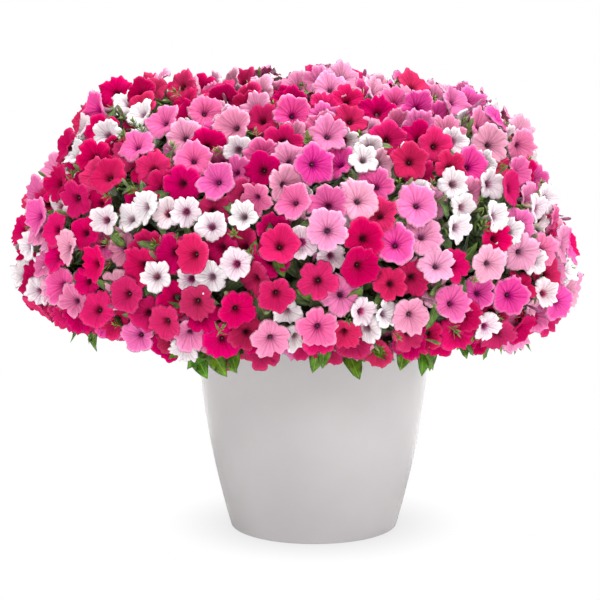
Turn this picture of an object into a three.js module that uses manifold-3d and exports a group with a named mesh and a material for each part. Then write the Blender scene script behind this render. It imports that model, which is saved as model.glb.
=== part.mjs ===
// A container petunia in full bloom: three plants, rose, pink and white, grown into one mound
// over a plain round pot. Millimetres, +Z up, origin at the middle of the pot's underside.
import * as THREE from 'three';
import { mergeVertices } from 'three/addons/utils/BufferGeometryUtils.js';
import Module from 'manifold-3d';

const wasm = await Module();
wasm.setup();

// Pot: a moulded round pot with a slightly bellied wall and a small rounded lip
const potHeight = 262;
const potBaseRadius = 108;
const potRimRadius = 152;
const potBelly = 7.5;
const potWall = 3.6;
const potFloor = 5;
const potBaseEdge = 2;
const potLip = 6;
const potSegments = 32;
const wallSteps = 4;
const drainHoles = { count: 5, ring: 72, radius: 6, sides: 6 };

// Potting mix: a settled filling, a little higher in the middle
const soilTop = 244;
const soilCrown = 4;
const seat = 0.3;
const stemHole = { clearance: 1.3, depth: 42, sides: 5 };
const stemKnee = 22;

// Mound: a body of revolution, fuller and flatter than a ball, with a few broad swells
const moundCentre = new THREE.Vector3(-20, 8, 345);
const moundRadius = 355;
const crownRise = 232;
const skirtDrop = 132;
const moundPower = 2.5;
const lowestLatitude = -42;
const swells = [
  { azimuth: 180, latitude: 54, rise: 28, spread: 0.03 },
  { azimuth: 180, latitude: 30, rise: -12, spread: 0.03 },
  { azimuth: 182, latitude: 6, rise: 7, spread: 0.02 },
  { azimuth: 0, latitude: 20, rise: -24, spread: 0.05 },
  { azimuth: 2, latitude: -4, rise: 8, spread: 0.03 },
  { azimuth: -90, latitude: -36, rise: -30, spread: 0.12 },
  { azimuth: -150, latitude: -38, rise: -40, spread: 0.05 },
  { azimuth: -40, latitude: -38, rise: -20, spread: 0.04 },
  { azimuth: -10, latitude: 54, rise: 20, spread: 0.03 },
  { azimuth: -40, latitude: 82, rise: 20, spread: 0.006 },
  { azimuth: 100, latitude: 40, rise: 9, spread: 0.08 },
  { azimuth: 60, latitude: 10, rise: -9, spread: 0.05 },
  { azimuth: -140, latitude: 20, rise: 7, spread: 0.05 },
];

// Leafy shoots, in tiers from the crown down; each stands in the mix on its tier's ring
const tiers = [
  { shoots: 1, footRing: 0, turn: 0 },
  { shoots: 5, footRing: 38, turn: 9 },
  { shoots: 9, footRing: 70, turn: 0 },
  { shoots: 11, footRing: 100, turn: 8 },
  { shoots: 10, footRing: 127, turn: 0 },
];
const stemRadius = 3.4;
const stemSides = 3;
const stemLift = 0.3;
const stemArrival = 0.36;
const coreDepth = 37;
const coreThickness = 20;
const coreGap = 2.4;
const coreBumps = 4;
const rootDepth = 14;
const rootMargin = 13;
const rootHeadroom = 3;

// Blooms: a five-lobed limb on a slender tube. Each looks out sideways more than the mound does
// and turns a little to the light, in front, and the more it tilts, the deeper it sits. The
// solids spread a little wider than the real limbs, so that they cover the mound
const bloomCount = 292;
const bloomReach = { rose: 24.5, pink: 25.5, white: 20 };
const bloomSpread = 1.14;
const lobes = 5;
const notchShare = 0.8;
const throatShare = 0.3;
const lobeLift = { tip: -0.07, notch: 0.02, shake: 1.6 };
const bloomSizes = { least: 0.94, span: 0.12 };
const neckDepth = 17;
const neckRadius = 6;
const neckSides = 3;
const bloomClearance = 0.5;
const bloomScatter = 7;
const bloomTilt = 0.38;
const bloomOutlook = 0.5;
const bloomSink = 0.35;
const towardLight = new THREE.Vector3(0, -0.45, 0.1);
const spiralShake = { turns: 0.5, places: 6 };
const restingRounds = 14;
const restingPush = 0.4;
const highestShare = 0.002;
const lowestShare = 0.985;

// Leaves and buds between the blooms
const leavesPerShoot = 2;
const fringeLeaves = 2;
const placeGrid = 8;
const placeDepth = 6;
const placeSpacing = 34;
const leafLean = 14;
const leafWidth = 24;
const leafThickness = 2.6;
const widestLeaf = 0.48;
const fringeReach = { inside: 12, below: 26, proud: 18, skew: 8 };
const budRadius = 3.2;
const budBelly = 0.68;
const budRise = 13;

const radians = THREE.MathUtils.degToRad;
const clamp = THREE.MathUtils.clamp;
const up = new THREE.Vector3(0, 0, 1);
const goldenTurn = Math.PI * (3 - Math.sqrt(5));

function seededDraw(seed) {
  let state = seed;
  return () => {
    state = (Math.imul(state, 1664525) + 1013904223) >>> 0;
    return state / 4294967296;
  };
}

// Any closed geometry becomes a solid for joining and cutting, with its faces pointing out
function toSolid(geometry) {
  geometry.deleteAttribute('normal');
  geometry.deleteAttribute('uv');
  const merged = mergeVertices(geometry, 1e-4);
  const position = merged.getAttribute('position');
  const corners = [];
  for (let i = 0; i < merged.index.count; i += 3) {
    const triple = [0, 1, 2].map((k) => merged.index.getX(i + k));
    if (new Set(triple).size === 3) corners.push(triple);
  }
  const at = (i) => new THREE.Vector3().fromBufferAttribute(position, i);
  const volume = corners.reduce((sum, [a, b, c]) => sum + at(a).dot(at(b).cross(at(c))), 0);
  const outward = volume < 0 ? corners.map(([a, b, c]) => [a, c, b]) : corners;
  return new wasm.Manifold(
    new wasm.Mesh({
      numProp: 3,
      vertProperties: new Float32Array(position.array),
      triVerts: new Uint32Array(outward.flat()),
    }),
  );
}

function toMesh(solid, name, material) {
  const { vertProperties, triVerts } = solid.getMesh();
  const geometry = new THREE.BufferGeometry();
  geometry.setAttribute('position', new THREE.BufferAttribute(vertProperties, 3));
  geometry.setIndex(new THREE.BufferAttribute(triVerts, 1));
  geometry.computeVertexNormals();
  const mesh = new THREE.Mesh(geometry, material);
  mesh.name = name;
  return mesh;
}

function pointsGeometry(points, faces) {
  const geometry = new THREE.BufferGeometry();
  geometry.setAttribute('position', new THREE.Float32BufferAttribute(points.flatMap((p) => p.toArray()), 3));
  geometry.setIndex(faces.flat());
  return geometry;
}

// A prism standing on its base centre
function upright(radius, height, sides, x, y, z) {
  const prism = new THREE.CylinderGeometry(radius, radius, height, sides);
  prism.rotateX(Math.PI / 2);
  prism.translate(x, y, z + height / 2);
  return prism;
}

function turned(profile) {
  const lathe = new THREE.LatheGeometry(profile.map(([r, z]) => new THREE.Vector2(r, z)), potSegments);
  return lathe.rotateX(Math.PI / 2);
}

// Outer radius of the pot at a height: a straight taper with a belly
function potRadiusAt(z) {
  const share = z / potHeight;
  return potBaseRadius + (potRimRadius - potBaseRadius) * share + potBelly * Math.sin(Math.PI * share);
}

function makePot() {
  const outer = [];
  for (let i = 1; i <= wallSteps; i += 1) {
    const z = ((potHeight - potLip) * i) / wallSteps;
    outer.push([potRadiusAt(z), z]);
  }
  const inner = [];
  for (let i = wallSteps; i >= 0; i -= 1) {
    const z = potFloor + ((potHeight - potLip - potFloor) * i) / wallSteps;
    inner.push([potRadiusAt(z) - potWall, z]);
  }
  const rimRadius = potRadiusAt(potHeight) - potWall / 2;
  const lip = [
    [rimRadius + potLip / 2, potHeight - potLip / 2],
    [rimRadius + potLip / 4, potHeight],
    [rimRadius - potLip / 4, potHeight],
  ];
  const base = [[0, 0], [potBaseRadius - potBaseEdge, 0], [potBaseRadius, potBaseEdge]];
  let pot = toSolid(turned([...base, ...outer, ...lip, ...inner, [0, potFloor]]));
  for (let i = 0; i < drainHoles.count; i += 1) {
    const a = (2 * Math.PI * i) / drainHoles.count;
    const x = drainHoles.ring * Math.cos(a);
    const y = drainHoles.ring * Math.sin(a);
    const hole = upright(drainHoles.radius, 4 * potFloor, drainHoles.sides, x, y, -2 * potFloor);
    pot = pot.subtract(toSolid(hole));
  }
  return pot;
}

function makeSoil(feet) {
  const profile = [[0, potFloor + seat]];
  for (let i = 0; i <= wallSteps; i += 1) {
    const z = potFloor + seat + ((soilTop - potFloor - seat) * i) / wallSteps;
    profile.push([potRadiusAt(z) - potWall - 2 * seat, z]);
  }
  profile.push([potRimRadius / 2, soilTop + soilCrown], [0, soilTop + soilCrown]);
  const holes = feet.map(({ x, y }) => {
    const radius = stemRadius + stemHole.clearance;
    return toSolid(upright(radius, 2 * stemHole.depth, stemHole.sides, x, y, soilTop - stemHole.depth));
  });
  return toSolid(turned(profile)).subtract(wasm.Manifold.union(holes));
}

// Mound surface: azimuth about the axis, latitude from the skirt up to the crown, depth inwards
function swellAt(azimuth, latitude) {
  let rise = 0;
  for (const swell of swells) {
    const turn = Math.cos(azimuth - radians(swell.azimuth));
    const b = radians(swell.latitude);
    const nearness = Math.cos(b) * Math.cos(latitude) * turn + Math.sin(b) * Math.sin(latitude);
    rise += swell.rise * Math.exp((nearness - 1) / swell.spread);
  }
  return rise;
}

function eased(value) {
  return Math.sign(value) * Math.abs(value) ** (2 / moundPower);
}

function moundPoint(azimuth, latitude, depth) {
  const inset = depth - swellAt(azimuth, latitude);
  const radius = (moundRadius - inset) * eased(Math.cos(latitude));
  const rise = ((latitude > 0 ? crownRise : skirtDrop) - inset) * eased(Math.sin(latitude));
  const offset = new THREE.Vector3(radius * Math.cos(azimuth), radius * Math.sin(azimuth), rise);
  return offset.add(moundCentre);
}

function outwardAt(azimuth, latitude) {
  return moundPoint(azimuth, latitude, -10).sub(moundPoint(azimuth, latitude, 10)).normalize();
}

function normalAt(azimuth, latitude) {
  const step = 0.02;
  const east = moundPoint(azimuth + step, latitude, 0).sub(moundPoint(azimuth - step, latitude, 0));
  const north = moundPoint(azimuth, latitude + step, 0).sub(moundPoint(azimuth, latitude - step, 0));
  const normal = east.cross(north);
  return normal.length() > 1e-6 ? normal.normalize() : up.clone();
}

// Share of the mound's area above a latitude, as a running sum over thin bands
const bands = 480;
const bandLatitudes = [];
const bandShares = [];
let moundArea = 0;
for (let i = 0; i <= bands; i += 1) {
  const latitude = radians(90 + ((lowestLatitude - 90) * i) / bands);
  const radius = moundRadius * eased(Math.cos(latitude));
  const rise = (latitude > 0 ? crownRise : skirtDrop) * eased(Math.sin(latitude));
  if (i > 0) {
    const last = bandLatitudes[i - 1];
    const slant = Math.hypot(radius - last.radius, rise - last.rise);
    moundArea += Math.PI * (radius + last.radius) * slant;
  }
  bandLatitudes.push({ latitude, radius, rise });
  bandShares.push(moundArea);
}

function latitudeAt(share) {
  const target = share * moundArea;
  let i = 1;
  while (i < bands && bandShares[i] < target) i += 1;
  const part = (target - bandShares[i - 1]) / (bandShares[i] - bandShares[i - 1]);
  return bandLatitudes[i - 1].latitude + part * (bandLatitudes[i].latitude - bandLatitudes[i - 1].latitude);
}

// Bloom sites: an even spiral of turns over the mound, shaken by a seeded draw, then settled
// until each keeps about the same distance from its neighbours
function settleSites() {
  const draw = seededDraw(20240);
  const pitch = Math.sqrt((2 / Math.sqrt(3)) * (moundArea / bloomCount));
  const sites = [];
  for (let i = 0; i < bloomCount; i += 1) {
    const share = (i + 0.5 + spiralShake.places * (draw() - 0.5)) / bloomCount;
    const azimuth = i * goldenTurn + spiralShake.turns * (draw() - 0.5);
    sites.push({ azimuth, share: clamp(share, highestShare, lowestShare) });
  }
  for (let round = 0; round < restingRounds; round += 1) {
    const places = sites.map(({ azimuth, share }) => moundPoint(azimuth, latitudeAt(share), 0));
    sites.forEach((site, i) => {
      const push = new THREE.Vector3();
      places.forEach((other, j) => {
        const apart = places[i].clone().sub(other);
        const distance = apart.length();
        if (j === i || distance >= pitch) return;
        push.addScaledVector(apart, (restingPush * (pitch - distance)) / distance);
      });
      const step = 0.004;
      const east = new THREE.Vector3(-Math.sin(site.azimuth), Math.cos(site.azimuth), 0);
      const below = moundPoint(site.azimuth, latitudeAt(Math.min(site.share + step, 1)), 0);
      const above = moundPoint(site.azimuth, latitudeAt(Math.max(site.share - step, 0)), 0);
      const south = below.sub(above).divideScalar(2 * step);
      const reach = Math.max(Math.hypot(places[i].x - moundCentre.x, places[i].y - moundCentre.y), 20);
      site.azimuth += push.dot(east) / reach;
      site.share = clamp(site.share + push.dot(south) / south.lengthSq(), highestShare, lowestShare);
    });
  }
  return sites;
}

// Colour of a bloom: rose leads on the left and low in front, pink on the right and towards the
// crown, each in drifts, and white is sprinkled through a band round the middle
function bloomColour(azimuth, latitude, draw) {
  const right = Math.cos(azimuth) * Math.cos(latitude);
  const drift = 0.39 + 0.24 * right - 0.2 * Math.sin(3 * azimuth + 5 * latitude) + 0.2 * Math.sin(latitude);
  const band = 0.05 + 0.3 * Math.exp(-(((latitude - 0.4) / 0.5) ** 2));
  const whiteShare = band * (1 + 0.6 * Math.sin(5 * azimuth + 6 * latitude + 3.4));
  const first = draw();
  const second = draw();
  if (first < whiteShare) return 'white';
  return 0.5 + 0.8 * (second - 0.5) < drift ? 'pink' : 'rose';
}

function makeSites() {
  const draw = seededDraw(731);
  const sites = settleSites().map(({ azimuth, share }) => {
    const latitude = latitudeAt(share);
    const colour = bloomColour(azimuth, latitude, draw);
    const scatter = bloomScatter * (2 * draw() - 1);
    const lean = new THREE.Vector3(2 * draw() - 1, 2 * draw() - 1, 2 * draw() - 1);
    const normal = normalAt(azimuth, latitude);
    const sideways = new THREE.Vector3(Math.cos(azimuth), Math.sin(azimuth), 0);
    const facing = normal.clone().lerp(sideways, bloomOutlook).addScaledVector(lean, bloomTilt)
      .add(towardLight).normalize();
    const tilted = new THREE.Vector3().crossVectors(facing, normal).length();
    const centre = moundPoint(azimuth, latitude, scatter + bloomSink * bloomReach[colour] * tilted);
    const size = bloomSizes.least + bloomSizes.span * draw();
    return { azimuth, share, latitude, colour, centre, facing, size, spin: draw() };
  });
  for (const site of sites) {
    const gaps = sites.filter((other) => other !== site).map((other) => site.centre.distanceTo(other.centre));
    const limb = bloomReach[site.colour] * bloomSpread * site.size;
    site.radius = Math.min(limb, Math.min(...gaps) / 2 - bloomClearance);
  }
  return sites;
}

// One bloom: a waved outline of lobes and notches, its throat sunk, and behind it a tube that
// narrows to a root inside the shoot
function bloomSolid(site, root, draw) {
  const { centre, facing, radius } = site;
  const across = new THREE.Vector3().crossVectors(facing, new THREE.Vector3(0.31, 0.83, 0.46)).normalize();
  const along = new THREE.Vector3().crossVectors(facing, across);
  const tube = root.clone().sub(centre).normalize();
  const neckAcross = across.clone().addScaledVector(tube, -across.dot(tube)).normalize();
  const neckAlong = new THREE.Vector3().crossVectors(neckAcross, tube).normalize();
  const rim = 2 * lobes;
  const points = [];
  for (let k = 0; k < rim; k += 1) {
    const a = 2 * Math.PI * (k / rim + site.spin);
    const reach = k % 2 ? radius * notchShare : radius;
    const lift = (k % 2 ? lobeLift.notch : lobeLift.tip) * radius + lobeLift.shake * (draw() - 0.5);
    points.push(
      centre.clone().addScaledVector(across, reach * Math.cos(a)).addScaledVector(along, reach * Math.sin(a))
        .addScaledVector(facing, lift),
    );
  }
  points.push(centre.clone().addScaledVector(facing, -throatShare * radius));
  for (let j = 0; j < neckSides; j += 1) {
    const a = 2 * Math.PI * (j / neckSides + site.spin);
    points.push(
      centre.clone().addScaledVector(tube, neckDepth).addScaledVector(neckAcross, neckRadius * Math.cos(a))
        .addScaledVector(neckAlong, neckRadius * Math.sin(a)),
    );
  }
  points.push(root);
  const throat = rim;
  const neck = (j) => rim + 1 + (j % neckSides);
  const tip = rim + 1 + neckSides;
  const faces = [];
  for (let k = 0; k < rim; k += 1) faces.push([k, (k + 1) % rim, throat]);
  let j = 0;
  for (let k = 0; k < rim; k += 1) {
    faces.push([(k + 1) % rim, k, neck(j)]);
    if (j < neckSides && (k + 1) / rim >= (j + 0.5) / neckSides) {
      faces.push([(k + 1) % rim, neck(j), neck(j + 1)]);
      j += 1;
    }
  }
  for (let n = 0; n < neckSides; n += 1) faces.push([neck(n + 1), neck(n), tip]);
  return toSolid(pointsGeometry(points, faces));
}

// A pointed leaf: widest near its middle, thickest along its rib
function leafSolid(base, tip, side, width) {
  const middle = base.clone().lerp(tip, widestLeaf);
  const face = new THREE.Vector3().crossVectors(tip.clone().sub(base), side).normalize();
  const points = [
    base,
    middle.clone().addScaledVector(side, width / 2),
    tip,
    middle.clone().addScaledVector(side, -width / 2),
    middle.clone().addScaledVector(face, leafThickness / 2),
    middle.clone().addScaledVector(face, -leafThickness / 2),
  ];
  const faces = [];
  for (let k = 0; k < 4; k += 1) {
    faces.push([k, (k + 1) % 4, 4], [(k + 1) % 4, k, 5]);
  }
  return toSolid(pointsGeometry(points, faces));
}

// A slim closed bud, standing a little proud of the blooms
function budSolid(root, tip) {
  const axis = tip.clone().sub(root).normalize();
  const across = new THREE.Vector3().crossVectors(axis, new THREE.Vector3(0.6, 0.2, 0.77)).normalize();
  const along = new THREE.Vector3().crossVectors(axis, across);
  const belly = root.clone().lerp(tip, budBelly);
  const points = [root, tip];
  for (let k = 0; k < 3; k += 1) {
    const a = (2 * Math.PI * k) / 3;
    points.push(
      belly.clone().addScaledVector(across, budRadius * Math.cos(a))
        .addScaledVector(along, budRadius * Math.sin(a)),
    );
  }
  const faces = [];
  for (let k = 0; k < 3; k += 1) {
    const here = 2 + k;
    const next = 2 + ((k + 1) % 3);
    faces.push([here, next, 1], [next, here, 0]);
  }
  return toSolid(pointsGeometry(points, faces));
}

// The ground that each shoot covers: a tier of the mound from one share to the next, and a
// stretch of azimuth, with the narrow gap that keeps it clear of its neighbours
function makePlots() {
  const total = tiers.reduce((sum, tier) => sum + tier.shoots, 0);
  const plots = [];
  let above = 0;
  tiers.forEach((tier, level) => {
    const below = above + tier.shoots / total;
    for (let i = 0; i < tier.shoots; i += 1) {
      const width = (2 * Math.PI) / tier.shoots;
      const start = radians(tier.turn) + i * width;
      plots.push({ level, index: i, start, width, above, below, footRing: tier.footRing });
    }
    above = below;
  });
  return plots;
}

function plotHolds(plot, site) {
  const turn = 2 * Math.PI;
  const round = (((site.azimuth - plot.start) % turn) + turn) % turn;
  return site.share >= plot.above && site.share < plot.below && round < plot.width;
}

// How far a shift of one millimetre on the surface moves an azimuth or a latitude
function azimuthStep(latitude, distance) {
  return distance / ((moundRadius - coreDepth) * eased(Math.cos(latitude)));
}

function latitudeStep(latitude, distance) {
  const small = 0.01;
  const here = moundPoint(0, latitude - small, coreDepth);
  const there = moundPoint(0, latitude + small, coreDepth);
  return (2 * small * distance) / here.distanceTo(there);
}

// The shoot's leafy body, a bumpy slab of the mound well below the blooms
function coreSolid(plot, draw) {
  const cap = plot.level === 0;
  const columns = cap ? 8 : 3;
  const rows = cap ? 1 : 3;
  const lowLatitude = latitudeAt(plot.below);
  const low = lowLatitude + latitudeStep(lowLatitude, coreGap);
  const points = [];
  const grid = [];
  for (const depth of [coreDepth, coreDepth + coreThickness]) {
    const layer = [];
    for (let row = 0; row < rows; row += 1) {
      const line = [];
      for (let column = 0; column < columns; column += 1) {
        let latitude = low;
        let azimuth = plot.start + (plot.width * column) / columns;
        if (!cap) {
          const highLatitude = latitudeAt(plot.above);
          const cell = plot.width / (columns - 1);
          const ringRadius = moundRadius * eased(Math.cos(highLatitude));
          const sagitta = ringRadius * (1 - Math.cos(cell / 2)) * Math.abs(Math.sin(highLatitude));
          const high = highLatitude - latitudeStep(highLatitude, coreGap + sagitta);
          latitude = high + ((low - high) * row) / (rows - 1);
          const inset = azimuthStep(latitude, coreGap);
          azimuth = plot.start + inset + ((plot.width - 2 * inset) * column) / (columns - 1);
        }
        line.push(points.length);
        points.push(moundPoint(azimuth, latitude, depth + coreBumps * (draw() - 0.5)));
      }
      layer.push(line);
    }
    grid.push(layer);
  }
  const faces = [];
  if (cap) {
    const outer = grid[0][0];
    const inner = grid[1][0];
    const crown = points.push(moundPoint(0, Math.PI / 2, coreDepth)) - 1;
    const under = points.push(moundPoint(0, Math.PI / 2, coreDepth + coreThickness)) - 1;
    for (let k = 0; k < columns; k += 1) {
      const next = (k + 1) % columns;
      faces.push([outer[k], outer[next], crown], [inner[next], inner[k], under]);
      faces.push([inner[k], inner[next], outer[next]], [inner[k], outer[next], outer[k]]);
    }
    return toSolid(pointsGeometry(points, faces));
  }
  const quad = (a, b, c, d) => faces.push([a, b, c], [a, c, d]);
  for (let row = 0; row < rows - 1; row += 1) {
    for (let column = 0; column < columns - 1; column += 1) {
      const [outer, inner] = grid;
      quad(outer[row + 1][column], outer[row + 1][column + 1], outer[row][column + 1], outer[row][column]);
      quad(inner[row][column], inner[row][column + 1], inner[row + 1][column + 1], inner[row + 1][column]);
    }
  }
  const last = columns - 1;
  const foot = rows - 1;
  for (let k = 0; k < last; k += 1) {
    const [outer, inner] = grid;
    quad(outer[0][k], outer[0][k + 1], inner[0][k + 1], inner[0][k]);
    quad(inner[foot][k], inner[foot][k + 1], outer[foot][k + 1], outer[foot][k]);
  }
  for (let k = 0; k < foot; k += 1) {
    const [outer, inner] = grid;
    quad(inner[k][0], inner[k + 1][0], outer[k + 1][0], outer[k][0]);
    quad(outer[k][last], outer[k + 1][last], inner[k + 1][last], inner[k][last]);
  }
  return toSolid(pointsGeometry(points, faces));
}

function plotMiddle(plot) {
  if (plot.level === 0) return { azimuth: 0, latitude: Math.PI / 2 };
  return { azimuth: plot.start + plot.width / 2, latitude: latitudeAt((plot.above + plot.below) / 2) };
}

function footOf(plot) {
  const { azimuth } = plotMiddle(plot);
  return new THREE.Vector3(plot.footRing * Math.cos(azimuth), plot.footRing * Math.sin(azimuth), soilTop);
}

// Main stem: straight up to a knee over the mix, then an arch out to the middle of the body
function stemSolid(plot) {
  const { azimuth, latitude } = plotMiddle(plot);
  const foot = footOf(plot);
  const head = moundPoint(azimuth, latitude, coreDepth + coreThickness / 2);
  const reach = foot.distanceTo(head);
  const bottom = foot.clone().addScaledVector(up, -stemHole.depth + 2);
  const knee = foot.clone().addScaledVector(up, stemKnee);
  const rise = knee.clone().addScaledVector(up, stemLift * reach);
  const arrive = head.clone().addScaledVector(outwardAt(azimuth, latitude), -stemArrival * reach);
  const straight = new THREE.LineCurve3(bottom, knee);
  const path = new THREE.CurvePath();
  path.add(straight);
  path.add(new THREE.CubicBezierCurve3(knee, rise, arrive, head));
  const steps = Math.ceil(path.getLength() / straight.getLength());
  const section = new THREE.Shape();
  for (let k = 0; k < stemSides; k += 1) {
    const a = (2 * Math.PI * k) / stemSides;
    section[k ? 'lineTo' : 'moveTo'](stemRadius * Math.cos(a), stemRadius * Math.sin(a));
  }
  section.closePath();
  return toSolid(new THREE.ExtrudeGeometry(section, { steps, extrudePath: path, bevelEnabled: false }));
}

// A bloom's root: straight down its own ray, held well inside the shoot's borders
function rootOf(plot, site) {
  const depth = coreDepth + rootDepth;
  const lowest = latitudeAt(plot.below);
  const highest = latitudeAt(plot.above);
  const margin = coreGap + rootMargin;
  let { azimuth, latitude } = site;
  const low = lowest + latitudeStep(lowest, margin);
  if (plot.level > 0) {
    const high = highest - latitudeStep(highest, margin + rootHeadroom);
    latitude = Math.min(latitude, high);
    const turn = 2 * Math.PI;
    const round = (((azimuth - plot.start) % turn) + turn) % turn;
    const inset = azimuthStep(latitude, margin);
    azimuth = plot.start + clamp(round, inset, plot.width - inset);
  }
  latitude = Math.max(latitude, low);
  return moundPoint(azimuth, latitude, depth);
}

// Open places of a plot, the widest first, each a point between the blooms
function openPlaces(plot, sites) {
  const places = [];
  for (let i = 1; i < placeGrid; i += 1) {
    for (let j = 1; j < placeGrid; j += 1) {
      const azimuth = plot.start + (plot.width * i) / placeGrid;
      const latitude = latitudeAt(plot.above + ((plot.below - plot.above) * j) / placeGrid);
      const point = moundPoint(azimuth, latitude, placeDepth);
      const room = Math.min(...sites.map((site) => site.centre.distanceTo(point) - site.radius));
      places.push({ azimuth, latitude, point, room });
    }
  }
  places.sort((a, b) => b.room - a.room);
  const chosen = [];
  for (const place of places) {
    if (chosen.every((other) => other.point.distanceTo(place.point) > placeSpacing)) chosen.push(place);
  }
  return chosen;
}

function budAt({ azimuth, latitude, point }) {
  const root = moundPoint(azimuth, latitude, coreDepth + rootDepth);
  return budSolid(root, point.clone().addScaledVector(outwardAt(azimuth, latitude), budRise + placeDepth));
}

// A leaf that climbs through an open place with its face half turned out
function leafAt(plot, place) {
  const { azimuth, latitude } = plotMiddle(plot);
  const middle = moundPoint(azimuth, latitude, coreDepth + rootDepth);
  const below = moundPoint(place.azimuth, place.latitude, coreDepth + rootDepth);
  const inward = middle.sub(below);
  const base = below.clone().addScaledVector(inward.clone().normalize(), Math.min(leafLean, inward.length()));
  const outward = outwardAt(place.azimuth, place.latitude);
  const side = new THREE.Vector3().crossVectors(place.point.clone().sub(base), outward).normalize();
  return leafSolid(base, place.point, side, leafWidth);
}

// A leaf of the skirt, hanging out under the lowest blooms
function fringeLeafAt(plot, part) {
  const azimuth = plot.start + plot.width * part;
  const latitude = latitudeAt(plot.below);
  const { inside, below, proud, skew } = fringeReach;
  const base = moundPoint(azimuth, latitude + latitudeStep(latitude, inside), coreDepth + rootDepth);
  const tipAzimuth = azimuth + azimuthStep(latitude, skew);
  const tip = moundPoint(tipAzimuth, latitude - latitudeStep(latitude, below), coreDepth - proud);
  const side = new THREE.Vector3(-Math.sin(azimuth), Math.cos(azimuth), 0);
  return leafSolid(base, tip, side, leafWidth);
}

function commonest(colours) {
  const count = (name) => colours.filter((colour) => colour === name).length;
  return ['rose', 'pink', 'white'].reduce((best, name) => (count(name) > count(best) ? name : best), 'rose');
}

// Each shoot is one body: stem, leafy core and blooms first, then what fits between them
// without touching another shoot
function makeShoots(plots, sites) {
  const draw = seededDraw(99);
  const shoots = plots.map((plot) => {
    const own = sites.filter((site) => plotHolds(plot, site));
    const parts = [stemSolid(plot), coreSolid(plot, draw)];
    for (const site of own) parts.push(bloomSolid(site, rootOf(plot, site), draw));
    const colour = commonest(own.map((site) => site.colour));
    return { plot, own, colour, solid: wasm.Manifold.union(parts) };
  });
  const touches = (piece, shoot) => !piece.intersect(shoot.solid).isEmpty();
  const fits = (piece, shoot) => shoots.every((other) => touches(piece, other) === (other === shoot));
  for (const shoot of shoots) {
    const places = openPlaces(shoot.plot, sites);
    const extras = [];
    const bud = places.shift();
    extras.push(budAt(bud));
    for (const place of places.slice(0, leavesPerShoot)) extras.push(leafAt(shoot.plot, place));
    if (shoot.plot.level === tiers.length - 1) {
      for (let i = 0; i < fringeLeaves; i += 1) {
        extras.push(fringeLeafAt(shoot.plot, (i + 0.5) / fringeLeaves));
      }
    }
    const fitting = extras.filter((piece) => fits(piece, shoot));
    shoot.solid = wasm.Manifold.union([shoot.solid, ...fitting]);
  }
  return shoots;
}

const potPlastic = new THREE.MeshStandardMaterial({ color: '#d2cecf', roughness: 0.25, metalness: 0 });
const pottingMix = new THREE.MeshStandardMaterial({ color: '#3a2a1e', roughness: 0.95, metalness: 0 });
const petals = {
  rose: new THREE.MeshStandardMaterial({ color: '#e01a5f', roughness: 0.7, metalness: 0 }),
  pink: new THREE.MeshStandardMaterial({ color: '#f27fc0', roughness: 0.7, metalness: 0 }),
  white: new THREE.MeshStandardMaterial({ color: '#f3ebf0', roughness: 0.7, metalness: 0 }),
};

const plant = new THREE.Group();
const plots = makePlots();
const shoots = makeShoots(plots, makeSites());
plant.add(toMesh(makePot(), 'pot', potPlastic));
plant.add(toMesh(makeSoil(plots.map(footOf)), 'potting_mix', pottingMix));
for (const { plot, colour, solid } of shoots) {
  const order = String(plot.index + 1).padStart(2, '0');
  plant.add(toMesh(solid, `shoot_tier${plot.level + 1}_${order}`, petals[colour]));
}

export default plant;
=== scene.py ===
import math

import bpy
import numpy as np
from mathutils import Matrix, Quaternion, Vector


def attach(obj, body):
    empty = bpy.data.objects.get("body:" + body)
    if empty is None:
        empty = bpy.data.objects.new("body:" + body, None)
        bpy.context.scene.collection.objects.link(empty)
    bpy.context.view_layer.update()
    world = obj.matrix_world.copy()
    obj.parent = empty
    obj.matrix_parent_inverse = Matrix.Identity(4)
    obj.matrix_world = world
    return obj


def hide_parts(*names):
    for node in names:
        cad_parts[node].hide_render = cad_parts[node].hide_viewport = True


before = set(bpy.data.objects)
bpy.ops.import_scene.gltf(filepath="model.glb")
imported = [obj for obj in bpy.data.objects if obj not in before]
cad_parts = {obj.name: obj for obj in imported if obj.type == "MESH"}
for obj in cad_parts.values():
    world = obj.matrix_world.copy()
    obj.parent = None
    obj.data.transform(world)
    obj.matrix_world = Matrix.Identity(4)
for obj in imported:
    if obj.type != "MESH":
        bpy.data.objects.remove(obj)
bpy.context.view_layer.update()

mm = 0.001
shootNodes = sorted(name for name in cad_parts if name.startswith("shoot"))
print("frame loaded, shoots:", len(shootNodes))

# The mound that the blooms cover, the same body of revolution as the solids', in millimetres
mound = {
    "centre": (-20, 8, 345),
    "radius": 355,
    "crownRise": 232,
    "skirtDrop": 132,
    "power": 2.5,
    "lowestLatitude": -42,
    "bands": 480,
}
# Broad swells and hollows: azimuth, latitude, rise and spread
swells = (
    (180, 54, 28, 0.03),
    (180, 30, -12, 0.03),
    (182, 6, 7, 0.02),
    (0, 20, -24, 0.05),
    (2, -4, 8, 0.03),
    (-90, -36, -30, 0.12),
    (-150, -38, -40, 0.05),
    (-40, -38, -20, 0.04),
    (-10, 54, 20, 0.03),
    (-40, 82, 20, 0.006),
    (100, 40, 9, 0.08),
    (60, 10, -9, 0.05),
    (-140, 20, 7, 0.05),
)


def seededDraw(seed):
    state = [seed]

    def draw():
        state[0] = (state[0] * 1664525 + 1013904223) % 4294967296
        return state[0] / 4294967296

    return draw


def drawIn(draw, low, high):
    return low + (high - low) * draw()


def drawEach(draw, spans):
    return tuple(drawIn(draw, *span) for span in spans)


# A random lean; only the least value of its upward part differs from use to use
def drawLean(draw, lowest=-1.0):
    return np.array([2 * draw() - 1, 2 * draw() - 1, 2 * draw() + lowest])


up = np.array([0.0, 0.0, 1.0])


# Level directions at an azimuth: outwards and to the side
def levelOut(azimuth):
    return np.array([math.cos(azimuth), math.sin(azimuth), 0.0])


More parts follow.
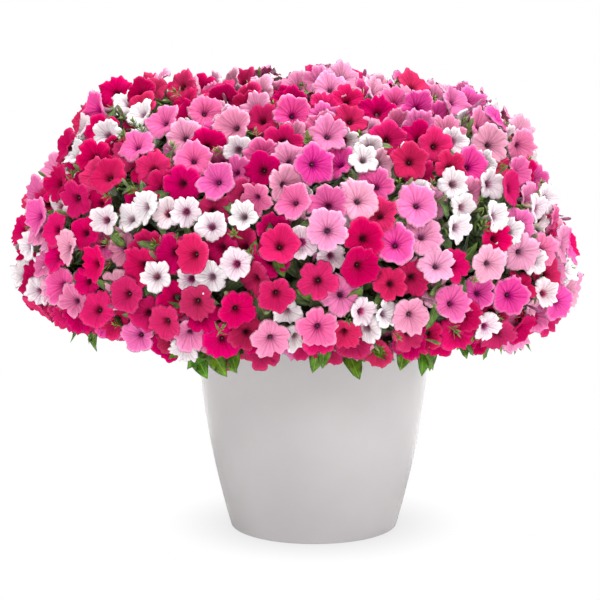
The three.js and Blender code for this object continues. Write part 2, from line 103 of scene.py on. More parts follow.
def levelSide(azimuth):
    return np.array([-math.sin(azimuth), math.cos(azimuth), 0.0])


def eased(value):
    return np.sign(value) * np.abs(value) ** (2 / mound["power"])


def swellAt(azimuth, latitude):
    rise = 0.0
    for a, b, height, spread in swells:
        turn = np.cos(azimuth - math.radians(a))
        nearness = math.cos(math.radians(b)) * np.cos(latitude) * turn
        nearness = nearness + math.sin(math.radians(b)) * np.sin(latitude)
        rise = rise + height * np.exp((nearness - 1) / spread)
    return rise


def moundPoint(azimuth, latitude, depth):
    azimuth, latitude, depth = np.broadcast_arrays(*np.atleast_1d(azimuth, latitude, depth))
    inset = depth - swellAt(azimuth, latitude)
    radius = (mound["radius"] - inset) * eased(np.cos(latitude))
    fall = np.where(latitude > 0, mound["crownRise"], mound["skirtDrop"])
    rise = (fall - inset) * eased(np.sin(latitude))
    offset = np.stack([radius * np.cos(azimuth), radius * np.sin(azimuth), rise], axis=-1)
    return offset + np.array(mound["centre"], float)


def unit(vectors):
    return vectors / np.maximum(np.linalg.norm(vectors, axis=-1, keepdims=True), 1e-9)


# Away from the inside at a place of the mound, and square to its surface there
def outwardAt(azimuth, latitude):
    return unit(moundPoint(azimuth, latitude, -10) - moundPoint(azimuth, latitude, 10))


def normalAt(azimuth, latitude):
    step = 0.02
    east = moundPoint(azimuth + step, latitude, 0) - moundPoint(azimuth - step, latitude, 0)
    north = moundPoint(azimuth, latitude + step, 0) - moundPoint(azimuth, latitude - step, 0)
    return unit(np.cross(east, north))


# Running area of the mound from the crown down, so that places can be spread evenly
bandShares = np.arange(mound["bands"] + 1) / mound["bands"]
bandLatitudes = np.radians(90 + (mound["lowestLatitude"] - 90) * bandShares)
bandRadii = mound["radius"] * eased(np.cos(bandLatitudes))
bandFalls = np.where(bandLatitudes > 0, mound["crownRise"], mound["skirtDrop"])
bandRises = bandFalls * eased(np.sin(bandLatitudes))
slants = np.hypot(np.diff(bandRadii), np.diff(bandRises))
bandAreas = np.concatenate([[0], np.cumsum(math.pi * (bandRadii[1:] + bandRadii[:-1]) * slants)])
moundArea = bandAreas[-1]


def latitudeAt(share):
    return np.interp(np.asarray(share) * moundArea, bandAreas, bandLatitudes)


# Leafy shoots in tiers: how many, the ring that they stand on in the mix, and the tier's turn
tiers = ((1, 0, 0), (5, 38, 9), (9, 70, 0), (11, 100, 8), (10, 127, 0))
goldenTurn = math.pi * (3 - math.sqrt(5))

siting = {
    "settleSeed": 20240,
    "seed": 731,
    "count": 292,
    "shakeTurns": 0.5,
    "shakePlaces": 6,
    "rounds": 14,
    "push": 0.4,
    "highest": 0.002,
    "lowest": 0.985,
    "leastReach": 20,
    "depth": (-7, 7),
    "sizes": (0.94, 1.06),
    "tilt": 0.5,
    "outlook": 0.5,
    "lookUp": 0.1,
    "lookToLight": 0.45,
    "sink": 0.35,
}
# The second layer: blooms that peep out between the others, a little deeper
between = {
    "seed": 5150,
    "places": 2600,
    "turn": 0.4,
    "count": 560,
    "depth": (3, 15),
    "sizes": (0.88, 1.06),
    "tilt": 0.62,
    "looseShare": 0.12,
}
# Reach of a bloom's limb from its throat
bloomReach = {"rose": 24.5, "pink": 25.5, "white": 20.0}


def settleSites():
    draw = seededDraw(siting["settleSeed"])
    count = siting["count"]
    pitch = math.sqrt((2 / math.sqrt(3)) * (moundArea / count))
    share = np.zeros(count)
    azimuth = np.zeros(count)
    for i in range(count):
        share[i] = (i + 0.5 + siting["shakePlaces"] * (draw() - 0.5)) / count
        azimuth[i] = i * goldenTurn + siting["shakeTurns"] * (draw() - 0.5)
    share = np.clip(share, siting["highest"], siting["lowest"])
    for _ in range(siting["rounds"]):
        places = moundPoint(azimuth, latitudeAt(share), 0)
        apart = places[:, None] - places[None]
        distance = np.linalg.norm(apart, axis=-1)
        np.fill_diagonal(distance, pitch)
        weight = np.where(distance < pitch, siting["push"] * (pitch - distance) / distance, 0)
        push = (apart * weight[..., None]).sum(axis=1)
        step = 0.004
        east = np.stack([-np.sin(azimuth), np.cos(azimuth), np.zeros(count)], axis=-1)
        below = moundPoint(azimuth, latitudeAt(np.minimum(share + step, 1)), 0)
        above = moundPoint(azimuth, latitudeAt(np.maximum(share - step, 0)), 0)
        south = (below - above) / (2 * step)
        centre = np.array(mound["centre"], float)
        reach = np.linalg.norm((places - centre)[:, :2], axis=-1)
        reach = np.maximum(reach, siting["leastReach"])
        azimuth = azimuth + (push * east).sum(axis=-1) / reach
        share = share + (push * south).sum(axis=-1) / (south * south).sum(axis=-1)
        share = np.clip(share, siting["highest"], siting["lowest"])
    return azimuth, share


# Rose leads on the left and low in front, pink on the right and towards the crown, each in
# drifts, and white is sprinkled through a band round the middle
drifts = {
    "pinkShare": 0.39,
    "toRight": 0.24,
    "toCrown": 0.2,
    "pinkPatches": 0.2,
    "pinkWaves": (3, 5),        # round the mound and up it
    "mingling": 0.8,
    "whiteShare": 0.05,
    "whiteBand": 0.3,
    "bandLatitude": 0.4,
    "bandWidth": 0.5,
    "whitePatches": 0.6,
    "whiteWaves": (5, 6, 3.4),  # round, up and shifted by
}


def bloomColour(azimuth, latitude, draw):
    right = math.cos(azimuth) * math.cos(latitude)
    pink = drifts["pinkShare"] + drifts["toRight"] * right
    around, rising = drifts["pinkWaves"]
    pink -= drifts["pinkPatches"] * math.sin(around * azimuth + rising * latitude)
    pink += drifts["toCrown"] * math.sin(latitude)
    off = (latitude - drifts["bandLatitude"]) / drifts["bandWidth"]
    white = drifts["whiteShare"] + drifts["whiteBand"] * math.exp(-(off ** 2))
    around, rising, shift = drifts["whiteWaves"]
    white *= 1 + drifts["whitePatches"] * math.sin(around * azimuth + rising * latitude + shift)
    first = draw()
    second = draw()
    if first < white:
        return "white"
    return "pink" if 0.5 + drifts["mingling"] * (second - 0.5) < pink else "rose"


# A bloom looks out sideways more than the mound does and turns a little to the light, in front,
# and it sits the deeper the more it tilts
def makeSite(azimuth, share, draw, layer):
    latitude = float(latitudeAt(share))
    colour = bloomColour(azimuth, latitude, draw)
    depth = drawIn(draw, *layer["depth"])
    lean = drawLean(draw)
    normal = normalAt(azimuth, latitude)[0]
    facing = siting["outlook"] * levelOut(azimuth) + (1 - siting["outlook"]) * normal
    facing = facing + layer["tilt"] * lean
    facing = unit(facing + np.array([0, -siting["lookToLight"], siting["lookUp"]]))
    size = drawIn(draw, *layer["sizes"])
    depth += siting["sink"] * bloomReach[colour] * np.linalg.norm(np.cross(facing, normal))
    return {"azimuth": azimuth, "share": share, "latitude": latitude, "colour": colour,
            "size": size, "centre": moundPoint(azimuth, latitude, depth)[0], "facing": facing,
            "spin": draw()}


def makeSites():
    draw = seededDraw(siting["seed"])
    return [makeSite(azimuth, share, draw, siting) for azimuth, share in zip(*settleSites())]


# Places of a golden spiral over the mound, as azimuths and area shares
def spiralPlaces(count, turn=0.0):
    index = np.arange(count)
    return index * goldenTurn + turn, (index + 0.5) / count


# The second layer goes where there is most room, and a few of its blooms anywhere
def addBetween(sites):
    draw = seededDraw(between["seed"])
    azimuths, shares = spiralPlaces(between["places"], between["turn"])
    latitudes = latitudeAt(shares)
    points = moundPoint(azimuths, latitudes, 0)
    taken = np.array([site["centre"] for site in sites])
    room = np.min(np.linalg.norm(points[:, None] - taken[None], axis=-1), axis=1)
    for _ in range(between["count"]):
        loose = draw() < between["looseShare"]
        best = int(draw() * len(room)) if loose else int(np.argmax(room))
        sites.append(makeSite(azimuths[best], shares[best], draw, between))
        room = np.minimum(room, np.linalg.norm(points - points[best], axis=-1))
    return sites


# Blooms that would cut through each other slide and turn apart until they lie like shingles
resting = {
    "rounds": 90,
    "clearance": 5.5,
    "slide": 0.8,
    "turn": 0.9,
    "homing": 0.02,
    "rings": ((1.0, 12), (0.6, 8), (0.0, 1)),
    "fineRings": ((1.0, 24), (0.8, 18), (0.55, 12), (0.3, 6), (0.0, 1)),
    "throatRadius": 9.0,
    "throatDepth": 15.0,
    "throatClearance": 3.5,
    "limbShare": 0.85,
    "limbClearance": 2.0,
    "sinkSteps": 4,
    "sinkStep": 5.0,
    "nearest": 60,
}


def discSamples(centres, facings, reaches, rings):
    across = unit(np.cross(facings, np.array([0.31, 0.83, 0.46])))
    along = np.cross(facings, across)
    samples = []
    for share, count in rings:
        for k in range(count):
            a = 2 * math.pi * k / count
            offset = across * math.cos(a) + along * math.sin(a)
            samples.append(centres + offset * (share * reaches)[:, None])
    return np.stack(samples, axis=1)


def restBlooms(sites):
    centres = np.array([site["centre"] for site in sites])
    facings = np.array([site["facing"] for site in sites])
    reaches = np.array([bloomReach[site["colour"]] * site["size"] for site in sites])
    homes, outlooks = centres.copy(), facings.copy()
    for _ in range(resting["rounds"]):
        apart = np.linalg.norm(centres[:, None] - centres[None], axis=-1)
        first, second = np.nonzero(np.triu(apart < reaches[:, None] + reaches[None], 1))
        samples = discSamples(centres, facings, reaches, resting["rings"])
        heights, insides, places = [], [], []
        for i, j in ((first, second), (second, first)):
            offset = samples[i] - centres[j][:, None]
            height = (offset * facings[j][:, None]).sum(axis=-1)
            lateral = np.sqrt(np.maximum((offset ** 2).sum(axis=-1) - height ** 2, 0))
            heights.append(height)
            insides.append(lateral < reaches[j][:, None])
            places.append(samples[i])
        over = (heights[0] * insides[0]).sum(axis=1) - (heights[1] * insides[1]).sum(axis=1)
        side = np.where(over >= 0, 1.0, -1.0)
        slide, twist = np.zeros_like(centres), np.zeros_like(centres)
        cutting = 0
        for (i, j), height, inside, place, way in zip(
                ((first, second), (second, first)), heights, insides, places, (side, -side)):
            short = np.maximum(resting["clearance"] - way[:, None] * height, 0) * inside
            cutting += int((short.max(axis=1) > resting["clearance"]).sum())
            push = facings[j][:, None] * (way[:, None] * short)[..., None]
            count = np.maximum(inside.sum(axis=1), 1)[:, None]
            mean = push.sum(axis=1) / count
            np.add.at(slide, i, mean / 2)
            np.add.at(slide, j, -mean / 2)
            for k, sign in ((i, 1), (j, -1)):
                arm = place - centres[k][:, None]
                torque = np.cross(arm, sign * push).sum(axis=1) / count
                torque = torque / (reaches[k] ** 2)[:, None]
                np.add.at(twist, k, torque)
        centres = centres + resting["slide"] * slide + resting["homing"] * (homes - centres)
        facings = facings + resting["turn"] * np.cross(twist, facings)
        facings = unit(facings + resting["homing"] * (outlooks - facings))
    print("blooms that still cut each other:", cutting, "furthest slide in mm:",
          round(float(np.linalg.norm(centres - homes, axis=1).max()), 1))
    for site, centre, facing in zip(sites, centres, facings):
        site["centre"], site["facing"] = centre, facing
    return sites


# A bloom of the second layer that still sticks through another's throat or limb, or the other way
# round, sits deeper, and it is left out where that doesn't help; a throat is a widening cone
def thinBlooms(sites):
    centres = np.array([site["centre"] for site in sites])
    facings = np.array([site["facing"] for site in sites])
    reaches = np.array([bloomReach[site["colour"]] * site["size"] for site in sites])
    samples = discSamples(centres, facings, reaches, resting["fineRings"])

    def pierces(i, j):
        offset = samples[i] - centres[j]
        height = offset @ facings[j]
        lateral = np.sqrt(np.maximum((offset ** 2).sum(axis=-1) - height ** 2, 0))
        cone = resting["throatRadius"] * np.clip(1 + height / resting["throatDepth"], 0, 1)
        throat = (lateral < cone) & (height < resting["throatClearance"])
        limb = lateral < resting["limbShare"] * reaches[j]
        limb = limb & (abs(height) < resting["limbClearance"])
        return bool(np.any(throat | limb))

    kept = list(range(len(sites)))
    sunk = 0
    for i in range(siting["count"], len(sites)):
        inward = -outwardAt(sites[i]["azimuth"], sites[i]["latitude"])[0]
        for step in range(resting["sinkSteps"] + 1):
            near = [j for j in kept
                    if j != i and np.linalg.norm(centres[i] - centres[j]) < resting["nearest"]]
            if not any(pierces(i, j) or pierces(j, i) for j in near):
                sunk += step > 0
                break
            centres[i] += resting["sinkStep"] * inward
            samples[i] += resting["sinkStep"] * inward
        else:
            kept.remove(i)
        sites[i]["centre"] = centres[i]
    print("blooms sunk:", sunk, "left out:", len(sites) - len(kept))
    return [sites[k] for k in kept]


sites = thinBlooms(restBlooms(addBetween(makeSites())))
print("blooms:", len(sites), {c: sum(s["colour"] == c for s in sites) for c in bloomReach})


# Materials
def colourOf(code, alpha=1.0):
    parts = [int(code[i:i + 2], 16) / 255 for i in (1, 3, 5)]
    linear = [p / 12.92 if p <= 0.04045 else ((p + 0.055) / 1.055) ** 2.4 for p in parts]
    return (*linear, alpha)


# Adds a node: settings are its own, a node or socket given for an input is linked, and the stops
# are those of a colour ramp, from the lowest up
def addNode(tree, kind, inputs=None, stops=(), **settings):
    node = tree.nodes.new(kind)
    for key, value in settings.items():
        setattr(node, key, value)
    for key, value in (inputs or {}).items():
        if isinstance(value, bpy.types.Node):
            value = value.outputs[0]
        if isinstance(value, bpy.types.NodeSocket):
            tree.links.new(value, node.inputs[key])
        else:
            node.inputs[key].default_value = value
    for place, (position, code) in enumerate(stops):
        elements = node.color_ramp.elements
        element = elements[place] if place < len(elements) else elements.new(position)
        element.position = position
        element.color = colourOf(code)
    return node


def newFinish(name, surface):
    finish = bpy.data.materials.new(name)
    finish.use_nodes = True
    tree = finish.node_tree
    tree.nodes.clear()
    shader = addNode(tree, "ShaderNodeBsdfPrincipled", surface)
    addNode(tree, "ShaderNodeOutputMaterial", {"Surface": shader})
    return finish, tree, shader


def objectPlaceIn(tree):
    return addNode(tree, "ShaderNodeTexCoord").outputs["Object"]


# Each copy carries its own tint: a shift of hue, saturation and value
def paintTinted(tree, shader, colour, shade=1.0):
    tint = addNode(tree, "ShaderNodeAttribute", attribute_name="tint")
    parts = addNode(tree, "ShaderNodeSeparateXYZ", {"Vector": tint.outputs["Vector"]})
    hue, saturation, value = parts.outputs
    value = addNode(tree, "ShaderNodeMath", {0: value, 1: shade}, operation="MULTIPLY")
    tinted = addNode(tree, "ShaderNodeHueSaturation", {
        "Color": colour, "Hue": hue, "Saturation": saturation, "Value": value})
    tree.links.new(tinted.outputs["Color"], shader.inputs["Base Color"])


def raiseRelief(tree, shader, height, strength, distance):
    bump = addNode(tree, "ShaderNodeBump", {
        "Height": height, "Strength": strength, "Distance": distance * mm})
    tree.links.new(bump.outputs["Normal"], shader.inputs["Normal"])


# Petal, thin, soft and velvety: it scatters light with hardly a gloss, veins run out from a dark
# throat, shallow pleats with painted light and shade run between them, the rim is paler, a painted
# highlight, and the outside duller
petalPalettes = {
    "rose": {
        "eye": "#30101A", "throat": "#560422", "ring": "#A80C46", "limb": "#D01A5F",
        "rim": "#DC3270", "edge": "#EA5E90", "back": "#C03C6A", "tube": "#B0607C",
        "vein": "#8C0836", "sheen": "#FF86B4",
        "throatReach": 0.78, "veinStrength": 0.2, "veinReach": 0.7,
    },
    "pink": {
        "eye": "#6A6456", "throat": "#5A1848", "ring": "#D86EA0", "limb": "#EA7FAC",
        "rim": "#F2A2C3", "edge": "#F8C2D9", "back": "#DA8AAD", "tube": "#B58FA2",
        "vein": "#A62C70", "sheen": "#FFC4E4",
        "throatReach": 0.75, "veinStrength": 0.52, "veinReach": 0.85,
    },
    "white": {
        "eye": "#6E6C48", "throat": "#9A2A62", "ring": "#DD9CB8", "limb": "#F2E3E9",
        "rim": "#F6ECF0", "edge": "#FAF4F6", "back": "#EBDFE3", "tube": "#C2B7A2",
        "vein": "#A8487C", "sheen": "#FFFFFF",
        "throatReach": 0.75, "veinStrength": 0.45, "veinReach": 0.85,
    },
}
# Where along the petal each tone begins: 0 in the throat, 0.5 at the rim, 1 at the foot of the
# tube, with those of the throat first, which a colour may draw in
throatTones = ((0.0, "eye"), (0.03, "throat"), (0.065, "throat"), (0.12, "ring"), (0.2, "limb"))
# the rim and edge tones are paler than the limb: a painted highlight where the rim catches the
# light
limbTones = ((0.4, "limb"), (0.482, "rim"), (0.497, "edge"), (0.525, "back"), (0.74, "back"),
             (0.9, "tube"))
# Rows of veins: how many, their turn, width in millimetres and strength
petalVeins = ((5, 0.0, 1.0, 1.0), (15, 0.0, 0.7, 0.75), (30, 0.5, 0.6, 0.4))


def petalFinish(colour):
    palette = petalPalettes[colour]
    finish, tree, shader = newFinish(colour + "PetuniaPetal", {
        "Roughness": 0.6, "Specular IOR Level": 0.0, "Sheen Weight": 0.12, "Sheen Roughness": 0.5,
        "Sheen Tint": colourOf(palette["sheen"])})
    uv = addNode(tree, "ShaderNodeUVMap", uv_map="bloomMap")
    parts = addNode(tree, "ShaderNodeSeparateXYZ", {"Vector": uv})
    around, reach = parts.outputs["X"], parts.outputs["Y"]
    unrolled = addNode(tree, "ShaderNodeAttribute", attribute_name="unrolled").outputs["Vector"]
    # the veins wander by about a millimetre
    wander = addNode(tree, "ShaderNodeTexNoise", {"Vector": unrolled, "Scale": 5.0, "Detail": 2.0})
    wavering = addNode(tree, "ShaderNodeMath", {
        0: wander, 1: 0.04, 2: around}, operation="MULTIPLY_ADD")
    # pleats and streaks that run from the throat to the rim, about 3 mm apart there; they raise
    # the relief and also lighten and darken the petal, partly its own streaky tone and partly
    # painted light and shade of the pleats
    along = addNode(tree, "ShaderNodeMapping", {"Vector": unrolled, "Scale": (1.0, 1.0, 0.12)})
    streaks = addNode(tree, "ShaderNodeTexNoise", {"Vector": along, "Scale": 8.0, "Detail": 3.0})
    veins = None
    for count, turn, width, strength in petalVeins:
        pitch = 2 * math.pi * bloomReach[colour] / count
        turned = addNode(tree, "ShaderNodeMath", {
            0: wavering, 1: count, 2: turn}, operation="MULTIPLY_ADD")
        folded = addNode(tree, "ShaderNodeMath", {0: turned, 1: 0.5}, operation="PINGPONG")
        apart = addNode(tree, "ShaderNodeMath", {0: folded, 1: reach}, operation="MULTIPLY")
        line = addNode(tree, "ShaderNodeMapRange", {
            "Value": apart, "From Min": 0.2 * width / pitch, "From Max": width / pitch,
            "To Min": strength, "To Max": 0.0}, interpolation_type="SMOOTHSTEP")
        veins = addNode(tree, "ShaderNodeMath", {0: veins or 0.0, 1: line}, operation="MAXIMUM")
    fade = addNode(tree, "ShaderNodeMapRange", {
        "Value": reach, "From Min": 0.25, "From Max": palette["veinReach"],
        "To Min": palette["veinStrength"], "To Max": 0.15 * palette["veinStrength"]})
    veinMask = addNode(tree, "ShaderNodeMath", {0: veins, 1: fade}, operation="MULTIPLY")
    # the tones run into each other in streaks round the throat
    spill = addNode(tree, "ShaderNodeMapRange", {
        "Value": reach, "From Min": 0.1, "From Max": 0.7, "To Min": 0.16, "To Max": 0.0})
    spilt = addNode(tree, "ShaderNodeMath", {0: streaks, 1: 0.5}, operation="SUBTRACT")
    halfReach = addNode(tree, "ShaderNodeMath", {0: reach, 1: 0.5}, operation="MULTIPLY")
    place = addNode(tree, "ShaderNodeMath", {
        0: spilt, 1: spill, 2: halfReach}, operation="MULTIPLY_ADD")
    tones = [(at * palette["throatReach"], palette[tone]) for at, tone in throatTones]
    tones += [(at, palette[tone]) for at, tone in limbTones]
    base = addNode(tree, "ShaderNodeValToRGB", {"Fac": place}, tones)
    veined = addNode(tree, "ShaderNodeMix", {
        0: veinMask, 6: base, 7: colourOf(palette["vein"])}, data_type="RGBA")
    # painted light and shade of the pleats: the value rises and falls with the streaks that raise
    # the relief
    shade = addNode(tree, "ShaderNodeMapRange", {
        "Value": streaks, "From Min": 0.3, "From Max": 0.7, "To Min": 0.82, "To Max": 1.14})
    paintTinted(tree, shader, veined.outputs[2], shade)
    relief = addNode(tree, "ShaderNodeMath", {
        0: veins, 1: -0.3, 2: streaks}, operation="MULTIPLY_ADD")
    raiseRelief(tree, shader, relief, 0.9, 1.8)
    return finish


# Soft, faintly hairy leaf: a dull gloss, paler midrib and side veins
def leafFinish():
    finish, tree, shader = newFinish("petuniaLeaf", {
        "Roughness": 0.5, "Specular IOR Level": 0.35, "Sheen Weight": 0.15})
    uv = addNode(tree, "ShaderNodeUVMap", uv_map="leafMap")
    parts = addNode(tree, "ShaderNodeSeparateXYZ", {"Vector": uv})
    across, along, _ = parts.outputs
    centred = addNode(tree, "ShaderNodeMath", {0: across, 1: 0.5}, operation="SUBTRACT")
    side = addNode(tree, "ShaderNodeMath", {0: centred}, operation="ABSOLUTE")
    midrib = addNode(tree, "ShaderNodeMapRange", {
        "Value": side, "From Min": 0.008, "From Max": 0.045, "To Min": 1.0, "To Max": 0.0})
    # side veins leave the midrib in pairs, about 6 mm apart
    swept = addNode(tree, "ShaderNodeMath", {0: side, 1: -6.0}, operation="MULTIPLY")
    marching = addNode(tree, "ShaderNodeMath", {
        0: along, 1: 7.0, 2: swept}, operation="MULTIPLY_ADD")
    folded = addNode(tree, "ShaderNodeMath", {0: marching, 1: 0.5}, operation="PINGPONG")
    sideVein = addNode(tree, "ShaderNodeMapRange", {
        "Value": folded, "From Min": 0.0, "From Max": 0.1, "To Min": 0.45, "To Max": 0.0})
    veins = addNode(tree, "ShaderNodeMath", {0: midrib, 1: sideVein}, operation="MAXIMUM")
    # mottling about 6 mm across
    mottle = addNode(tree, "ShaderNodeTexNoise", {
        "Vector": objectPlaceIn(tree), "Scale": 160.0, "Detail": 3.0})
    blade = addNode(tree, "ShaderNodeValToRGB", {"Fac": mottle},
                    [(0.3, "#36501A"), (0.5, "#506F26"), (0.72, "#6C8A34")])
    veinMask = addNode(tree, "ShaderNodeMath", {0: veins, 1: 0.5}, operation="MULTIPLY")
    veined = addNode(tree, "ShaderNodeMix", {
        0: veinMask, 6: blade, 7: colourOf("#A4B870")}, data_type="RGBA")
    paintTinted(tree, shader, veined.outputs[2])
    relief = addNode(tree, "ShaderNodeMath", {
        0: veins, 1: -1.2, 2: mottle}, operation="MULTIPLY_ADD")
    raiseRelief(tree, shader, relief, 0.5, 0.5)
    return finish


# Stalks, calyxes, shoot tips and buds share one downy skin: matt, with a soft mottle of 4 mm
def greenFinish(name, low, high):
    finish, tree, shader = newFinish(name, {"Roughness": 0.6, "Specular IOR Level": 0.25})
    mottle = addNode(tree, "ShaderNodeTexNoise", {
        "Vector": objectPlaceIn(tree), "Scale": 240.0, "Detail": 2.0})
    base = addNode(tree, "ShaderNodeValToRGB", {"Fac": mottle}, [(0.3, low), (0.7, high)])
    paintTinted(tree, shader, base)
    raiseRelief(tree, shader, mottle, 0.3, 0.3)
    return finish


# Polypropylene, moulded and pale grey: glossy, with a faint orange peel and very slight cloudiness
def potFinish():
    finish, tree, shader = newFinish("mouldedPolypropylene", {"IOR": 1.49})
    place = objectPlaceIn(tree)
    cloud = addNode(tree, "ShaderNodeTexNoise", {"Vector": place, "Scale": 9.0, "Detail": 3.0})
    base = addNode(tree, "ShaderNodeValToRGB", {"Fac": cloud},
                   [(0.3, "#B8B4B5"), (0.7, "#BEBABB")])
    tree.links.new(base.outputs["Color"], shader.inputs["Base Color"])
    # real orange peel is about 1 mm; drawn at 4 mm so that it shows
    peel = addNode(tree, "ShaderNodeTexNoise", {"Vector": place, "Scale": 250.0, "Detail": 1.0})
    raiseRelief(tree, shader, peel, 0.05, 0.3)
    gloss = addNode(tree, "ShaderNodeMapRange", {
        "Value": cloud, "From Min": 0.3, "From Max": 0.7, "To Min": 0.2, "To Max": 0.27})
    tree.links.new(gloss.outputs["Result"], shader.inputs["Roughness"])
    return finish


# Moist peat, screened: matt and dark, with crumbs of bark about 9 mm and a few grains of perlite
def mixFinish():
    finish, tree, shader = newFinish("barkAndPeatMix", {"Roughness": 0.92})
    place = objectPlaceIn(tree)
    crumbs = addNode(tree, "ShaderNodeTexVoronoi", {"Vector": place, "Scale": 110.0})
    fine = addNode(tree, "ShaderNodeTexNoise", {"Vector": place, "Scale": 420.0, "Detail": 4.0})
    tone = addNode(tree, "ShaderNodeSeparateXYZ", {"Vector": crumbs.outputs["Color"]})
    base = addNode(tree, "ShaderNodeValToRGB", {"Fac": tone},
                   [(0.0, "#1E140D"), (0.5, "#3A281B"), (0.9, "#5A3F2A"), (0.96, "#CFC8BA")])
    damp = addNode(tree, "ShaderNodeMath", {0: fine, 1: 0.6}, operation="MULTIPLY")
    mixed = addNode(tree, "ShaderNodeMix", {
        0: damp, 6: base, 7: colourOf("#1A110B")}, data_type="RGBA")
    tree.links.new(mixed.outputs[2], shader.inputs["Base Color"])
    height = addNode(tree, "ShaderNodeMath", {0: crumbs, 1: fine}, operation="ADD")
    raiseRelief(tree, shader, height, 0.9, 2.5)
    return finish


# Mesh helpers
def meshObject(name, points, faces, smooth=True):
    mesh = bpy.data.meshes.new(name)
    mesh.from_pydata([tuple(p) for p in points], [], faces)
    if smooth:
        mesh.shade_smooth()
    return bpy.data.objects.new(name, mesh)


def link(made):
    bpy.context.scene.collection.objects.link(made)
    return made


def writeUv(mesh, name, values):
    layer = mesh.uv_layers.new(name=name)
    layer.data.foreach_set("uv", np.asarray(values, np.float32).ravel())


def writeAttribute(mesh, name, kind, values, field="value"):
    layer = mesh.attributes.new(name, kind, "POINT")
    layer.data.foreach_set(field, np.asarray(values).ravel())


# Bloom: a limb of five broad, ruffled lobes on a slender tube, in millimetres; a pair is a range
# that each form draws from
bloom = {
    "lobes": 5,
    "thickness": 0.5,
    "shapes": 8,
    "tubeLength": 27.0,
    "throatFloor": -16.5,
    "limbStart": 0.2,       # as a share of the reach
    "lobeSizes": (0.93, 1.06),
    "notch": (0.15, 0.34),
    "notchRound": 0.55,     # the lower, the broader the lobes
    "cup": (-0.2, 0.26),
    "cupShare": 0.6,
    "saddle": (1.4, 5.0),
    "lobeLift": 2.8,
    "lobeTwist": 2.2,
    "ruffle": (0.9, 2.4),
    "ruffleCounts": (9, 17),
    "ruffles": 3,
    "crinkle": (0.5, 1.1),
    "crinkleCounts": (19, 27),
    "edgeWave": 0.024,
    "dome": 2.4,
    "reflex": 3.4,
    "groove": 1.4,
    "grooveWidth": 0.1,
    "grooveStart": 0.3,
    "pleat": 0.7,
    "segmentsInFront": 56,
    "segmentsBehind": 40,
}


# Rings from the throat out to the rim and back down the outside: radius, height, place on the
# map, and how many of the limb's points the ring keeps
def bloomRings(reach):
    t = bloom["thickness"]
    return [
        (1.3, -16.0, 0.04, 4), (2.6, -12.0, 0.11, 4), (4.2, -8.0, 0.18, 2),
        (0.32 * reach, -4.6, 0.32, 2), (0.52 * reach, -2.1, 0.52, 1),
        (0.73 * reach, -0.6, 0.73, 1), (0.9 * reach, 0.0, 0.9, 1), (reach, -0.5, 1.0, 1),
        (0.89 * reach, -t, 1.11, 1), (0.55 * reach, -2.0 - t, 1.45, 2),
        (5.0, -8.6, 1.66, 4), (2.9, -16.5, 1.84, 4), (2.1, -26.0, 1.97, 4),
    ]


